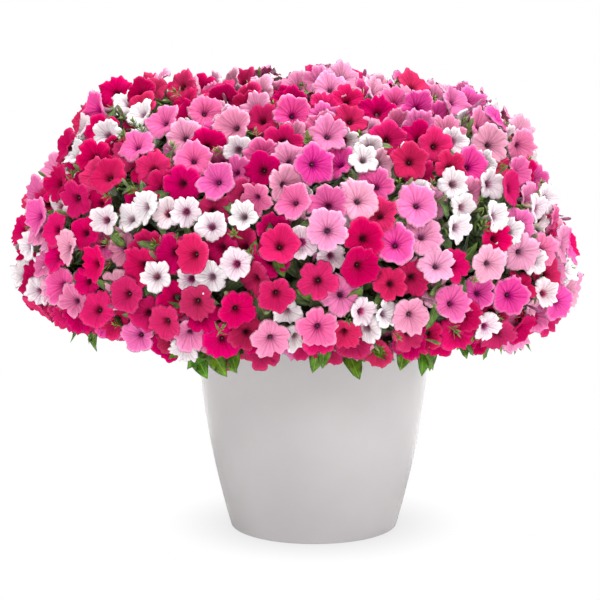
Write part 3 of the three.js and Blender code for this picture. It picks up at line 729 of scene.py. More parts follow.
def bloomShape(name, colour, seed, segments):
    draw = seededDraw(seed * 7919 + 13)
    # neighbouring seeds begin alike, so the first draws are let go
    for _ in range(5):
        draw()
    reach, lobes, full = bloomReach[colour], bloom["lobes"], 2 * math.pi
    notch, cup, saddle = drawEach(draw, (bloom["notch"], bloom["cup"], bloom["saddle"]))
    saddleTurn = full * draw()
    lobeSizes = [drawIn(draw, *bloom["lobeSizes"]) for _ in range(lobes)]
    lobeLifts = [bloom["lobeLift"] * drawIn(draw, -1, 1) for _ in range(lobes)]
    lobeTwists = [bloom["lobeTwist"] * drawIn(draw, -1, 1) for _ in range(lobes)]
    kinds = [("ruffleCounts", "ruffle")] * bloom["ruffles"] + [("crinkleCounts", "crinkle")]
    waves = [(round(drawIn(draw, *bloom[counts])), drawIn(draw, *bloom[high]), full * draw())
             for counts, high in kinds]
    points, unrolled, maps, faces = [], [], [], []

    def surface(radius, height, a):
        share = radius / reach
        lobe = a * lobes / full
        near = round(lobe) % lobes
        offset = lobe - round(lobe)
        crest = math.cos(math.pi * offset)
        weight = max(0.0, (share - bloom["limbStart"]) / (1 - bloom["limbStart"]))
        wave = sum(high * math.cos(count * a + phase) for count, high, phase in waves) / 2
        edge = 1 - notch * (1 - abs(crest) ** bloom["notchRound"]) + bloom["edgeWave"] * wave
        r = radius * (1 + (edge * lobeSizes[near] - 1) * weight ** 1.3)
        lift = saddle * math.cos(2 * a + saddleTurn) + lobeLifts[near] * crest ** 2
        lift += lobeTwists[near] * math.sin(full * offset) + bloom["dome"] * crest
        lift += wave * weight ** 2 - bloom["reflex"] * weight ** 3
        lift += bloom["cupShare"] * cup * reach
        # a groove along each lobe's middle and a pleat between two lobes
        crease = math.exp(-((offset / bloom["grooveWidth"]) ** 2))
        crease -= bloom["pleat"] * math.exp(-(((abs(offset) - 0.5) / bloom["grooveWidth"]) ** 2))
        groove = bloom["groove"] * crease if share > bloom["grooveStart"] else 0.0
        z = height + lift * weight ** 1.6 - groove
        return (r * math.cos(a) * mm, r * math.sin(a) * mm, z * mm)

    rings = []
    for radius, height, spread, skip in bloomRings(reach):
        count = segments // skip
        rings.append((len(points), count, spread))
        for k in range(count):
            a = 2 * math.pi * k / count
            points.append(surface(radius, height, a))
            unrolled.append((math.cos(a), math.sin(a), spread))

    def corner(ring, k):
        start, count, spread = rings[ring]
        return start + k % count, (k / count, spread)

    def addFace(corners):
        faces.append([index for index, _ in corners])
        maps.extend(place for _, place in corners)

    for ring in range(len(rings) - 1):
        below, above = rings[ring][1], rings[ring + 1][1]
        for k in range(min(below, above)):
            if below == above:
                addFace([corner(ring, k), corner(ring + 1, k), corner(ring + 1, k + 1),
                         corner(ring, k + 1)])
            elif below < above:
                first, last = corner(ring, k), corner(ring, k + 1)
                fine = [corner(ring + 1, 2 * k + i) for i in range(3)]
                addFace([first, fine[0], fine[1]])
                addFace([first, fine[1], last])
                addFace([last, fine[1], fine[2]])
            else:
                first, last = corner(ring + 1, k), corner(ring + 1, k + 1)
                fine = [corner(ring, 2 * k + i) for i in range(3)]
                addFace([fine[0], first, fine[1]])
                addFace([fine[1], first, last])
                addFace([fine[1], last, fine[2]])
    # the throat and the foot of the tube are closed round a middle point
    ends = ((0, bloom["throatFloor"], 0.0), (len(rings) - 1, -bloom["tubeLength"], 2.0))
    for ring, height, spread in ends:
        centre = len(points)
        points.append((0.0, 0.0, height * mm))
        unrolled.append((0.0, 0.0, spread))
        for k in range(rings[ring][1]):
            sides = [corner(ring, k), corner(ring, k + 1)]
            middle = (centre, ((k + 0.5) / rings[ring][1], spread))
            addFace(sides + [middle] if ring == 0 else sides[::-1] + [middle])
    made = meshObject(name, points, faces)
    writeUv(made.data, "bloomMap", maps)
    writeAttribute(made.data, "unrolled", "FLOAT_VECTOR", unrolled, "vector")
    return made


# Leaf: ovate and pointed, folded along the rib, curled and waved; a thin closed body
leaf = {
    "length": 40.0,
    "rows": 6,
    "columns": (-1, -0.5, 0, 0.5, 1),
    "thickness": 0.6,
    "seeds": (70, 79, 88, 97, 106, 115),
    "curls": (0.1, 0.15, 0.2, 0.25, 0.3, 0.35),
    "folds": (0.25, 0.31, 0.37, 0.25, 0.31, 0.37),
    "twist": (-0.25, 0.25),
    "curl": (0.7, 1.3),
    "wave": 1.4,
    "waveTurns": 3.2,
    "belly": (0.82, 0.8),   # how far down the leaf is widest, and how full it is there
}


def leafShape(name, seed, curl, fold, width):
    draw = seededDraw(seed)
    rows, columns = leaf["rows"], leaf["columns"]
    phase = 2 * math.pi * draw()
    twist = drawIn(draw, *leaf["twist"])
    bendTip = curl * drawIn(draw, *leaf["curl"])
    points = [(0.0, 0.0, 0.0)]
    marks = [(0.5, 0.0)]

    def at(t, across, drop):
        low, full = leaf["belly"]
        half = width / 2 * math.sin(math.pi * min(t ** low, 1)) ** full
        x = half * across
        y = leaf["length"] * t
        wave = leaf["wave"] * math.sin(leaf["waveTurns"] * math.pi * t + phase)
        z = fold * abs(across) * half + wave * across * abs(across)
        z -= bendTip * leaf["length"] * t * t + drop
        c, s = math.cos(twist * t), math.sin(twist * t)
        return ((x * c - z * s) * mm, y * mm, (x * s + z * c) * mm)

    top, under = [], []
    for row in range(1, rows):
        t = row / rows
        top.append([len(points) + i for i in range(len(columns))])
        for across in columns:
            points.append(at(t, across, 0.0))
            marks.append((0.5 + 0.5 * across, t))
        under.append(len(points))
        points.append(at(t, 0.0, leaf["thickness"]))
        marks.append((0.5, t))
    tip = len(points)
    points.append(at(1.0, 0.0, 0.0))
    marks.append((0.5, 1.0))
    faces = []
    for i in range(len(columns) - 1):
        faces.append([0, top[0][i + 1], top[0][i]])
        faces.append([tip, top[-1][i], top[-1][i + 1]])
        for row in range(len(top) - 1):
            faces.append([top[row][i], top[row][i + 1], top[row + 1][i + 1], top[row + 1][i]])
    last = len(columns) - 1
    faces += [[0, top[0][0], under[0]], [0, under[0], top[0][last]],
              [tip, under[-1], top[-1][0]], [tip, top[-1][last], under[-1]]]
    for row in range(len(top) - 1):
        faces.append([top[row][0], top[row + 1][0], under[row + 1], under[row]])
        faces.append([under[row], under[row + 1], top[row + 1][last], top[row][last]])
    made = meshObject(name, points, faces)
    writeUv(made.data, "leafMap", [marks[v] for face in faces for v in face])
    return made


# A turned form closed at both ends, from a list of radius and height
def spindle(name, profile, sides):
    points = [(0.0, 0.0, profile[0][1] * mm)]
    for radius, height in profile[1:-1]:
        for k in range(sides):
            a = 2 * math.pi * k / sides
            points.append((radius * math.cos(a) * mm, radius * math.sin(a) * mm, height * mm))
    points.append((0.0, 0.0, profile[-1][1] * mm))
    rings = len(profile) - 2
    faces = []
    for k in range(sides):
        n = (k + 1) % sides
        faces.append([0, 1 + n, 1 + k])
        for ring in range(rings - 1):
            here, there = 1 + ring * sides, 1 + (ring + 1) * sides
            faces.append([here + k, here + n, there + n, there + k])
        top = 1 + (rings - 1) * sides
        faces.append([top + k, top + n, len(points) - 1])
    return meshObject(name, points, faces)


# Slender blade from its foot over its widest point to its tip: two low pyramids on one kite
def addBlade(points, faces, foot, middle, tip, side, lift):
    start = len(points)
    points.extend(p * mm for p in (foot, middle + side, tip, middle - side, middle - lift,
                                   middle + lift))
    for k in range(4):
        n = (k + 1) % 4
        faces.extend(([start + k, start + n, start + 5], [start + n, start + k, start + 4]))


# Calyx: five narrow sepals that stand away from the foot of the tube
calyx = {
    "seed": 61,
    "shapeSeed": 5,
    "sepals": 5,
    "shapes": 4,
    "shake": 0.2,
    "length": 15.0,
    "lengths": (0.85, 1.15),
    "width": 3.2,
    "thickness": 1.2,
    "spread": 0.55,
    "spreads": (0.7, 1.6),
    "base": -29.0,
    "widest": (0.5, 0.55),      # out and up, as shares of the spread and the length
    "tip": (1.15, 0.9),
    "shade": ((0.9, 1.1), (0.85, 1.15)),
}
# Stigma, a small knob in the throat: radius and height
stigmaProfile = ((0, -16.0), (0.5, -12.5), (0.9, -10.2), (0, -9.5))


def calyxShape(name, seed):
    draw = seededDraw(seed)
    points, faces = [], []
    for k in range(calyx["sepals"]):
        a = 2 * math.pi * (k + calyx["shake"] * (draw() - 0.5)) / calyx["sepals"]
        out = levelOut(a)
        spread = calyx["spread"] * drawIn(draw, *calyx["spreads"])
        length = calyx["length"] * drawIn(draw, *calyx["lengths"])
        foot = calyx["base"] * up + out
        middle, tip = (foot + out * length * away * spread + high * length * up
                       for away, high in (calyx["widest"], calyx["tip"]))
        addBlade(points, faces, foot, middle, tip, levelSide(a) * calyx["width"] / 2,
                 out * calyx["thickness"] / 2)
    return meshObject(name, points, faces)


# A Geometry Nodes tree with named inputs, and its end: real copies with their material
def newGrowth(name, inputs):
    tree = bpy.data.node_groups.new(name, "GeometryNodeTree")
    for socket, kind in inputs.items():
        tree.interface.new_socket(socket, in_out="INPUT", socket_type="NodeSocket" + kind)
    tree.interface.new_socket("Result", in_out="OUTPUT", socket_type="NodeSocketGeometry")
    return tree, addNode(tree, "NodeGroupInput").outputs


def endGrowth(tree, start, grown):
    real = addNode(tree, "GeometryNodeRealizeInstances", {"Geometry": grown})
    painted = addNode(tree, "GeometryNodeSetMaterial", {
        "Geometry": real, "Material": start["Finish"]})
    addNode(tree, "NodeGroupOutput", {"Result": painted})
    return tree


# Copies of a shape on points that carry each copy's turn, size, form and tint
def scatterTree():
    tree, start = newGrowth("scatterOnPlaces", {
        "Places": "Geometry", "Shapes": "Collection", "Growth": "Float", "Finish": "Material"})
    shapes = addNode(tree, "GeometryNodeCollectionInfo", {
        "Collection": start["Shapes"], "Separate Children": True, "Reset Children": True})
    form, turn, size = (
        addNode(tree, "GeometryNodeInputNamedAttribute", {"Name": name}, data_type=kind)
        for name, kind in (("form", "INT"), ("turn", "FLOAT_VECTOR"), ("size", "FLOAT")))
    rotation = addNode(tree, "FunctionNodeEulerToRotation", {0: turn})
    scale = addNode(tree, "ShaderNodeMath", {0: size, 1: start["Growth"]}, operation="MULTIPLY")
    copies = addNode(tree, "GeometryNodeInstanceOnPoints", {
        "Points": start["Places"], "Instance": shapes, "Pick Instance": True,
        "Instance Index": form, "Rotation": rotation, "Scale": scale})
    return endGrowth(tree, start, copies)


# Round stalks along polylines, each point with its own thickness
def stalkTree():
    tree, start = newGrowth("stalksAlongPaths", {
        "Paths": "Geometry", "Sides": "Int", "Finish": "Material"})
    curves = addNode(tree, "GeometryNodeMeshToCurve", {"Mesh": start["Paths"]})
    girth = addNode(tree, "GeometryNodeInputNamedAttribute", {"Name": "girth"}, data_type="FLOAT")
    section = addNode(tree, "GeometryNodeCurvePrimitiveCircle", {
        "Resolution": start["Sides"], "Radius": 1.0})
    tube = addNode(tree, "GeometryNodeCurveToMesh", {
        "Curve": curves, "Profile Curve": section, "Scale": girth, "Fill Caps": True})
    return endGrowth(tree, start, tube)


# The evaluated object, with its modifiers' work, as a mesh of its own
def bakedMesh(source):
    bpy.context.view_layer.update()
    depsgraph = bpy.context.evaluated_depsgraph_get()
    return bpy.data.meshes.new_from_object(source.evaluated_get(depsgraph),
                                           preserve_all_data_layers=True, depsgraph=depsgraph)


def trianglesOf(made):
    return sum(len(face.vertices) - 2 for face in made.data.polygons)


def applyTree(source, tree, values, name):
    modifier = source.modifiers.new("grow", "NODES")
    modifier.node_group = tree
    for item in tree.interface.items_tree:
        if item.in_out == "INPUT" and item.name in values:
            modifier[item.identifier] = values[item.name]
    mesh = bakedMesh(source)
    source.modifiers.remove(modifier)
    bpy.data.objects.remove(source)
    mesh.shade_smooth()
    mesh.name = name
    made = link(bpy.data.objects.new(name, mesh))
    print(name, "triangles", trianglesOf(made))
    return made


placing = scatterTree()
stalking = stalkTree()


def scatter(name, places, shapes, finish):
    points = [tuple(np.asarray(p["at"]) * mm) for p in places]
    source = link(meshObject(name + "Places", points, [], smooth=False))
    mesh = source.data
    for key in ("turn", "tint"):
        writeAttribute(mesh, key, "FLOAT_VECTOR", [p[key] for p in places], "vector")
    writeAttribute(mesh, "size", "FLOAT", [p["size"] for p in places])
    writeAttribute(mesh, "form", "INT", np.array([p["form"] for p in places], np.int32))
    holder = bpy.data.collections.new(name + "Shapes")
    for shape in shapes:
        holder.objects.link(shape)
    made = applyTree(source, placing, {"Shapes": holder, "Growth": 1.0, "Finish": finish}, name)
    bpy.data.collections.remove(holder)
    for shape in shapes:
        bpy.data.objects.remove(shape)
    return made


# The turn that lays a form's own Z along a direction, spun about it
def alignTurn(direction, spin):
    turn = Vector(direction).to_track_quat("Z", "Y") @ Quaternion((0, 0, 1), spin)
    return tuple(turn.to_euler())


# A leaf's length lies along its local +Y and its face looks along local +Z
def leafTurn(direction, face):
    along = Vector(direction).normalized()
    out = Vector(face)
    out = (out - along * out.dot(along)).normalized()
    side = along.cross(out)
    return tuple(Matrix((side, along, out)).transposed().to_euler())


# A finished piece of the plant stands for all the shoots' nodes
def standFor(piece):
    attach(piece, "root")
    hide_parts(*shootNodes)
    return piece


# Pot, the form of its node made finer: a turned wall, a rolled lip and drilled drain holes
pot = {
    "height": 262.0,
    "baseRadius": 108.0,
    "rimRadius": 152.0,
    "belly": 7.5,
    "wall": 3.6,
    "floor": 5.0,
    "lip": 6.0,
    "baseEdge": 2.0,
    "baseRings": (0.0, 60.0, 90.0),
    "segments": 128,
    "steps": 28,
    "edgeSteps": 4,
    "lipSteps": 8,
    "holes": 5,
    "holeRing": 72.0,
    "holeRadius": 6.0,
    "drill": (-10.0, 15.0),
    "drillSides": 24,
    "sharpFrom": 40.0,
}


def potRadiusAt(z):
    share = z / pot["height"]
    taper = (pot["rimRadius"] - pot["baseRadius"]) * share
    return pot["baseRadius"] + taper + pot["belly"] * math.sin(math.pi * share)


def potProfile():
    height, edge, steps = pot["height"], pot["baseEdge"], pot["steps"]
    profile = [(radius, 0.0) for radius in pot["baseRings"]]
    for i in range(pot["edgeSteps"] + 1):
        a = math.pi / 2 * i / pot["edgeSteps"]
        profile.append((pot["baseRadius"] - edge + edge * math.sin(a), edge - edge * math.cos(a)))
    top = height - pot["lip"]
    for i in range(1, steps + 1):
        z = edge + (top - edge) * i / steps
        profile.append((potRadiusAt(z), z))
    rim, roll = potRadiusAt(height) - pot["wall"] / 2, pot["lip"] / 2
    for i in range(pot["lipSteps"] + 1):
        a = math.pi * i / pot["lipSteps"]
        profile.append((rim + roll * math.cos(a), height - roll + roll * math.sin(a)))
    for i in range(steps, -1, -1):
        z = pot["floor"] + (top - pot["floor"]) * i / steps
        profile.append((potRadiusAt(z) - pot["wall"], z))
    return profile + [(0.0, pot["floor"])]


def makePot():
    body = link(spindle("potShell", potProfile(), pot["segments"]))
    low, high = pot["drill"]
    radius = pot["holeRadius"]
    for i in range(pot["holes"]):
        rings = [(0.0, low), (radius, low), (radius, high), (0.0, high)]
        drill = link(spindle("drill", rings, pot["drillSides"]))
        place = pot["holeRing"] * mm * levelOut(2 * math.pi * i / pot["holes"])
        drill.data.transform(Matrix.Translation(place))
        cut = body.modifiers.new("cut", "BOOLEAN")
        cut.operation, cut.solver, cut.object = "DIFFERENCE", "EXACT", drill
        mesh = bakedMesh(body)
        body.modifiers.remove(cut)
        body.data = mesh
        bpy.data.objects.remove(drill)
    body.data.materials.clear()
    body.data.materials.append(potFinish())
    body.data.set_sharp_from_angle(angle=math.radians(pot["sharpFrom"]))
    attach(body, "root")
    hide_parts("pot")


makePot()
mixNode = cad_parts["potting_mix"]
mixNode.data.materials.clear()
mixNode.data.materials.append(mixFinish())
print("pot and potting mix finished")


# Plot of each shoot: a stretch of azimuth between two area shares
def makePlots():
    total = sum(tier[0] for tier in tiers)
    plots, above = [], 0.0
    for level, (count, footRing, turn) in enumerate(tiers):
        below = above + count / total
        for i in range(count):
            width = 2 * math.pi / count
            plots.append({"level": level, "start": math.radians(turn) + i * width, "width": width,
                          "above": above, "below": below, "footRing": footRing})
        above = below
    return plots


# Main stems rise from their holes in the mix to the heads of their shoots, and each bloom's own
# stalk springs from there
stems = {
    "seed": 44,
    "soilTop": 244.0,
    "hole": 40.0,
    "knee": 22.0,
    "depth": 47.0,
    "lift": 0.3,
    "arrival": 0.36,
    "girth": 3.0,
    "thinning": 0.6,
    "points": 14,
    "shade": 0.8,
    "sides": 6,
}
stalks = {
    "girth": 1.25,
    "footGirth": 1.5,
    "points": 7,
    "start": 14,
    "arrival": 16,
    "gap": 2,
    "shade": (0.85, 1.15),
    "strangerPenalty": 400,   # millimetres that a stalk would rather go than leave its own plot
}


def bezier(a, b, c, d, count):
    t = np.linspace(0, 1, count)[:, None]
    return (1 - t) ** 3 * a + 3 * (1 - t) ** 2 * t * b + 3 * (1 - t) * t * t * c + t ** 3 * d


def plotMiddle(plot):
    if plot["level"] == 0:
        return 0.0, math.pi / 2
    middle = float(latitudeAt((plot["above"] + plot["below"]) / 2))
    return plot["start"] + plot["width"] / 2, middle


def ownPlot(plots, site):
    def distanceTo(plot):
        inside = plot["above"] <= site["share"] < plot["below"]
        inside = inside and (site["azimuth"] - plot["start"]) % (2 * math.pi) < plot["width"]
        away = np.linalg.norm(plot["head"] - site["centre"])
        return away if inside else away + stalks["strangerPenalty"]

    return min(plots, key=distanceTo)


def makeStalks(plots):
    paths, girths, tints = [], [], []
    draw = seededDraw(stems["seed"])
    for plot in plots:
        azimuth, latitude = plotMiddle(plot)
        foot = plot["footRing"] * levelOut(azimuth) + stems["soilTop"] * up
        head = moundPoint(azimuth, latitude, stems["depth"])[0]
        reach = np.linalg.norm(head - foot)
        knee = foot + stems["knee"] * up
        rise = knee + stems["lift"] * reach * up
        arrive = head - outwardAt(azimuth, latitude)[0] * stems["arrival"] * reach
        arch = bezier(knee, rise, arrive, head, stems["points"])
        paths.append(np.vstack([foot - stems["hole"] * up, foot, arch]))
        girths.append(np.linspace(1, stems["thinning"], len(paths[-1])) * stems["girth"])
        plot["head"] = head
        tints.append((0.5, 1.0, stems["shade"]))
    for site in sites:
        head = ownPlot(plots, site)["head"]
        tube = (stalks["gap"] + bloom["tubeLength"]) * site["size"]
        base = site["centre"] - site["facing"] * tube
        inward = -outwardAt(site["azimuth"], site["latitude"])[0]
        paths.append(bezier(head, head + stalks["start"] * inward,
                            base - site["facing"] * stalks["arrival"], base, stalks["points"]))
        girths.append(np.linspace(stalks["footGirth"], 1, stalks["points"]) * stalks["girth"])
        tints.append((0.5, 1.0, drawIn(draw, *stalks["shade"])))
    edges, start = [], 0
    for path in paths:
        edges += [(start + i, start + i + 1) for i in range(len(path) - 1)]
        start += len(path)
    mesh = bpy.data.meshes.new("stalkPaths")
    mesh.from_pydata([tuple(p) for p in np.vstack(paths) * mm], edges, [])
    writeAttribute(mesh, "girth", "FLOAT", np.concatenate(girths) * mm)
    tinted = np.vstack([np.tile(tint, (len(path), 1)) for tint, path in zip(tints, paths)])
    writeAttribute(mesh, "tint", "FLOAT_VECTOR", tinted, "vector")
    source = link(bpy.data.objects.new("stalkPaths", mesh))
    finish = greenFinish("petuniaStalk", "#5E8A35", "#86A95A")
    made = applyTree(source, stalking, {"Sides": stems["sides"], "Finish": finish}, "stalks")
    standFor(made)


makeStalks(makePlots())


# Blooms, by colour: those in front and, with fewer faces, those that peep out between them.
# Each has several forms, and every copy its own turn, size and tint
bloomTints = {
    "rose": {"hue": (0.495, 0.505), "saturation": (0.97, 1.04), "value": (0.76, 1.14)},
    "pink": {"hue": (0.486, 0.505), "saturation": (0.74, 1.26), "value": (0.9, 1.1)},
    "white": {"hue": (0.48, 0.52), "saturation": (0.5, 1.5), "value": (0.95, 1.04)},
}


def makeBlooms(name, colour, own, finish, segments, seed):
    draw = seededDraw(seed)
    shapes = [bloomShape(f"{name}{i}", colour, seed + i, segments)
              for i in range(bloom["shapes"])]
    places = []
    for site in own:
        tint = drawEach(draw, bloomTints[colour].values())
        turn = alignTurn(site["facing"], 2 * math.pi * site["spin"])
        places.append({"at": site["centre"], "turn": turn, "size": site["size"],
                       "form": int(draw() * bloom["shapes"]), "tint": tint})
    standFor(scatter(name, places, shapes, finish))


for number, colour in enumerate(petalPalettes):
    finish = petalFinish(colour)
    for layer, own, seed in (("InFront", sites[:siting["count"]], 100),
                             ("Behind", sites[siting["count"]:], 500)):
        own = [site for site in own if site["colour"] == colour]
        makeBlooms(f"{colour}Blooms{layer}", colour, own, finish, bloom["segments" + layer],
                   seed + 20 * number)


# Calyxes under every bloom, and the small green stigma in the throat of those in front
def makeCalyxes():
    draw = seededDraw(calyx["seed"])
    shapes = [calyxShape(f"calyx{i}", calyx["shapeSeed"] + i) for i in range(calyx["shapes"])]
    places = []
    for site in sites:
        places.append({"at": site["centre"], "size": site["size"],
                       "turn": alignTurn(site["facing"], 2 * math.pi * draw()),
                       "form": int(draw() * calyx["shapes"]),
                       "tint": (0.5, *drawEach(draw, calyx["shade"]))})
    finish = greenFinish("petuniaCalyx", "#7FA23F", "#A9C267")
    standFor(scatter("calyxes", places, shapes, finish))
    stigma = [spindle("stigma", stigmaProfile, 5)]
    inFront = [dict(place, form=0) for place in places[:siting["count"]]]
    finish = greenFinish("petuniaStigma", "#565A3C", "#7C8056")
    standFor(scatter("stigmas", inFront, stigma, finish))


makeCalyxes()


# Leaves: deep layers that close the mound, each with its count, the turn of its spiral, its depth
# and growth; leaves that climb between the blooms; a fringe that hangs in groups from the skirt;
# and the underside. A tint has ranges of hue, saturation and value
deepLeaves = {
    "seed": 303,
    "layers": ((1300, 1.1, 30, 1.0), (620, 0.2, 56, 1.7)),
    "shake": 0.3,
    "spread": 20,
    "rise": 0.35,
    "lean": 0.6,
    "foot": 22,
    "sizes": (1.0, 1.45),
    "width": 17.0,
    # painted shade: the deep leaves' value is held low, as shade falls on them deep in the mound
    "tint": ((0.475, 0.5), (0.7, 1.0), (0.45, 0.8)),
}
outerLeaves = {
    "count": 380,
    "choice": 3,
    "turn": 2.3,
    "room": 8,
    "depth": (4, 16),
    "rise": (0.5, 1.3),
    "lowestLean": -0.6,
    "sizes": (0.7, 1.1),
    "width": 17.0,
    "tint": ((0.49, 0.515), (0.9, 1.1), (0.8, 1.2)),
}
fringeLeaves = {
    "seed": 404,
    "groups": (-172, -150, -121, -112, -80, -74, -56, -38, -20, -8, 14, 40, 66, 92, 121, 150, 168),
    "each": 6,
    "shake": 0.2,
    "outwards": (0.2, 0.9),
    "sideways": 2.2,
    "downwards": (-0.2, -1.0),
    "faceUp": 0.7,
    "faceLean": 0.6,
    "raised": 0.1,
    "depth": (32, 10),
    "hang": (6, -4),
    "sizes": (0.72, 1.14),
    "width": 21.0,
    "tint": ((0.5, 0.525), (1.1, 1.3), (1.1, 1.6)),
}
underLeaves = {
    "count": 260,
    "rimGap": 14,
    "rimRise": 20,
    "depth": 26,
    "spread": 8,
    "sideways": 1.2,
    "downwards": 0.3,
    "faceOut": 0.5,
    "faceLean": 0.4,
    "turnedUp": 0.6,
    "sizes": (0.9, 1.3),
    "tint": ((0.49, 0.51), (0.9, 1.1), (0.6, 1.0)),
}


# The places with the most room between the blooms, at a depth
def roomiest(azimuths, latitudes, depth, count):
    points = moundPoint(azimuths, latitudes, depth)
    centres = np.array([site["centre"] for site in sites])
    reaches = np.array([bloomReach[site["colour"]] * site["size"] for site in sites])
    room = (np.linalg.norm(points[:, None] - centres[None], axis=-1) - reaches[None]).min(axis=1)
    return np.argsort(-room)[:count]


def leafPlace(draw, at, turn, size, tint):
    return {"at": at, "turn": turn, "size": size, "form": int(draw() * len(leaf["seeds"])),
            "tint": drawEach(draw, tint)}


def placeDeepLeaves(draw):
    kind, places = deepLeaves, []
    for count, turn, depth, growth in kind["layers"]:
        for azimuth, share in zip(*spiralPlaces(count, turn)):
            azimuth = azimuth + kind["shake"] * (draw() - 0.5)
            latitude = float(latitudeAt(share))
            normal = normalAt(azimuth, latitude)[0]
            lean = drawLean(draw)
            direction = unit(np.cross(normal, unit(lean)) + kind["rise"] * normal)
            face = unit(normal + kind["lean"] * lean)
            point = moundPoint(azimuth, latitude, depth + kind["spread"] * draw())[0]
            size = growth * drawIn(draw, *kind["sizes"])
            places.append(leafPlace(draw, point - direction * kind["foot"] * size,
                                    leafTurn(direction, face), size, kind["tint"]))
    return places


def placeOuterLeaves(draw):
    kind, places = outerLeaves, []
    azimuths, shares = spiralPlaces(kind["count"] * kind["choice"], kind["turn"])
    latitudes = latitudeAt(shares)
    for i in roomiest(azimuths, latitudes, kind["room"], kind["count"]):
        normal = normalAt(azimuths[i], latitudes[i])[0]
        lean = drawLean(draw, kind["lowestLean"])
        across = unit(np.cross(normal, unit(lean)))
        direction = unit(across + drawIn(draw, *kind["rise"]) * normal)
        size = drawIn(draw, *kind["sizes"])
        tip = moundPoint(azimuths[i], latitudes[i], drawIn(draw, *kind["depth"]))[0]
        places.append(leafPlace(draw, tip - direction * leaf["length"] * size,
                                leafTurn(direction, normal), size, kind["tint"]))
    return places


def placeFringe(draw):
    kind, places = fringeLeaves, []
    lowest = float(latitudeAt(1.0))
    for group in kind["groups"]:
        hang = drawIn(draw, *kind["hang"])
        for _ in range(kind["each"]):
            azimuth = math.radians(group) + kind["shake"] * (draw() - 0.5)
            out, side = levelOut(azimuth), levelSide(azimuth)
            direction = unit(out * drawIn(draw, *kind["outwards"])
                             + side * kind["sideways"] * (draw() - 0.5)
                             + drawIn(draw, *kind["downwards"]) * up)
            face = unit(out + kind["faceUp"] * up + kind["faceLean"] * side * (draw() - 0.5))
            latitude = lowest + kind["raised"] * draw()
            point = moundPoint(azimuth, latitude, drawIn(draw, *kind["depth"]))[0]
            places.append(leafPlace(draw, point + hang * up, leafTurn(direction, face),
                                    drawIn(draw, *kind["sizes"]), kind["tint"]))
    return places


def placeUnderLeaves(draw):
    kind, places = underLeaves, []
    lowest = float(latitudeAt(1.0))
    rimRadius = potRadiusAt(pot["height"]) + kind["rimGap"]
    for i in range(kind["count"]):
        azimuth = i * goldenTurn
        part = math.sqrt((i + 0.5) / kind["count"])
        outer = moundPoint(azimuth, lowest, kind["depth"])[0]
        inner = rimRadius * levelOut(azimuth) + (pot["height"] + kind["rimRise"]) * up
        point = inner + (outer - inner) * part + kind["spread"] * draw() * up
        out, side = unit(outer - inner), levelSide(azimuth)
        direction = unit(out + kind["sideways"] * (draw() - 0.5) * side
                         - kind["downwards"] * draw() * up)
        face = unit(kind["faceOut"] * out * (draw() - 0.3)
                    + kind["faceLean"] * side * (draw() - 0.5) - up)
        if draw() < kind["turnedUp"]:
            face = -face
        places.append(leafPlace(draw, point, leafTurn(direction, face),
                                drawIn(draw, *kind["sizes"]), kind["tint"]))
    return places


def makeLeaves():
    finish = leafFinish()
    inside, below = seededDraw(deepLeaves["seed"]), seededDraw(fringeLeaves["seed"])
    for name, kind, places in (
            ("deepLeaves", deepLeaves, placeDeepLeaves(inside)),
            ("outerLeaves", outerLeaves, placeOuterLeaves(inside)),
            ("fringeLeaves", fringeLeaves, placeFringe(below) + placeUnderLeaves(below))):
        forms = zip(leaf["seeds"], leaf["curls"], leaf["folds"])
        shapes = [leafShape(f"{name}Leaf{i}", *form, kind["width"])
                  for i, form in enumerate(forms)]
        standFor(scatter(name, places, shapes, finish))


makeLeaves()


# Young shoot tips: narrow, pale green leaves that climb a short stem, in the gaps
tufts = {
    "seed": 919,
    "count": 170,
    "choice": 7,
    "turn": 5.2,
    "room": 2,
    "lean": 0.7,
    "lowestLean": -0.6,
    "blades": 9,
    "seeds": (31, 38, 45, 52, 59),
    "shake": 0.8,
    "stem": 16.0,
    "stemWidth": 1.6,
    "stemLength": 1.1,         # of the stem, so that its tip stands in the leaves
    "widest": 0.45,
    "thickness": 0.35,
    "length": 13.0,
    "lengths": (0.7, 1.2),
    "shorten": 0.4,
    "width": 2.8,
    "rise": (0.2, 1.3, 0.5),   # at the foot, added by the top, and by chance
    "depth": (-2, 14),
    "sizes": (0.7, 1.2),
    "tint": ((0.49, 0.51), (0.9, 1.2), (0.7, 1.2)),
}


def tuftShape(name, seed):
    draw = seededDraw(seed)
    points, faces = [], []

    def grow(foot, direction, side, length, width):
        middle = foot + direction * length * tufts["widest"]
        addBlade(points, faces, foot, middle, foot + direction * length, side * width / 2,
                 np.cross(direction, side) * tufts["thickness"])

    stem = tufts["stem"]
    grow(-stem * up, up, levelOut(0.0), tufts["stemLength"] * stem, tufts["stemWidth"])
    for k in range(tufts["blades"]):
        climb = k / (tufts["blades"] - 1)
        a = k * goldenTurn + tufts["shake"] * draw()
        low, top, chance = tufts["rise"]
        direction = unit(levelOut(a) + (low + top * climb + chance * draw()) * up)
        length = tufts["length"] * (1 - tufts["shorten"] * climb) * drawIn(draw, *tufts["lengths"])
        foot = stem * (0.5 * climb - 0.5) * up
        grow(foot, direction, levelSide(a), length, tufts["width"])
    return meshObject(name, points, faces, smooth=False)


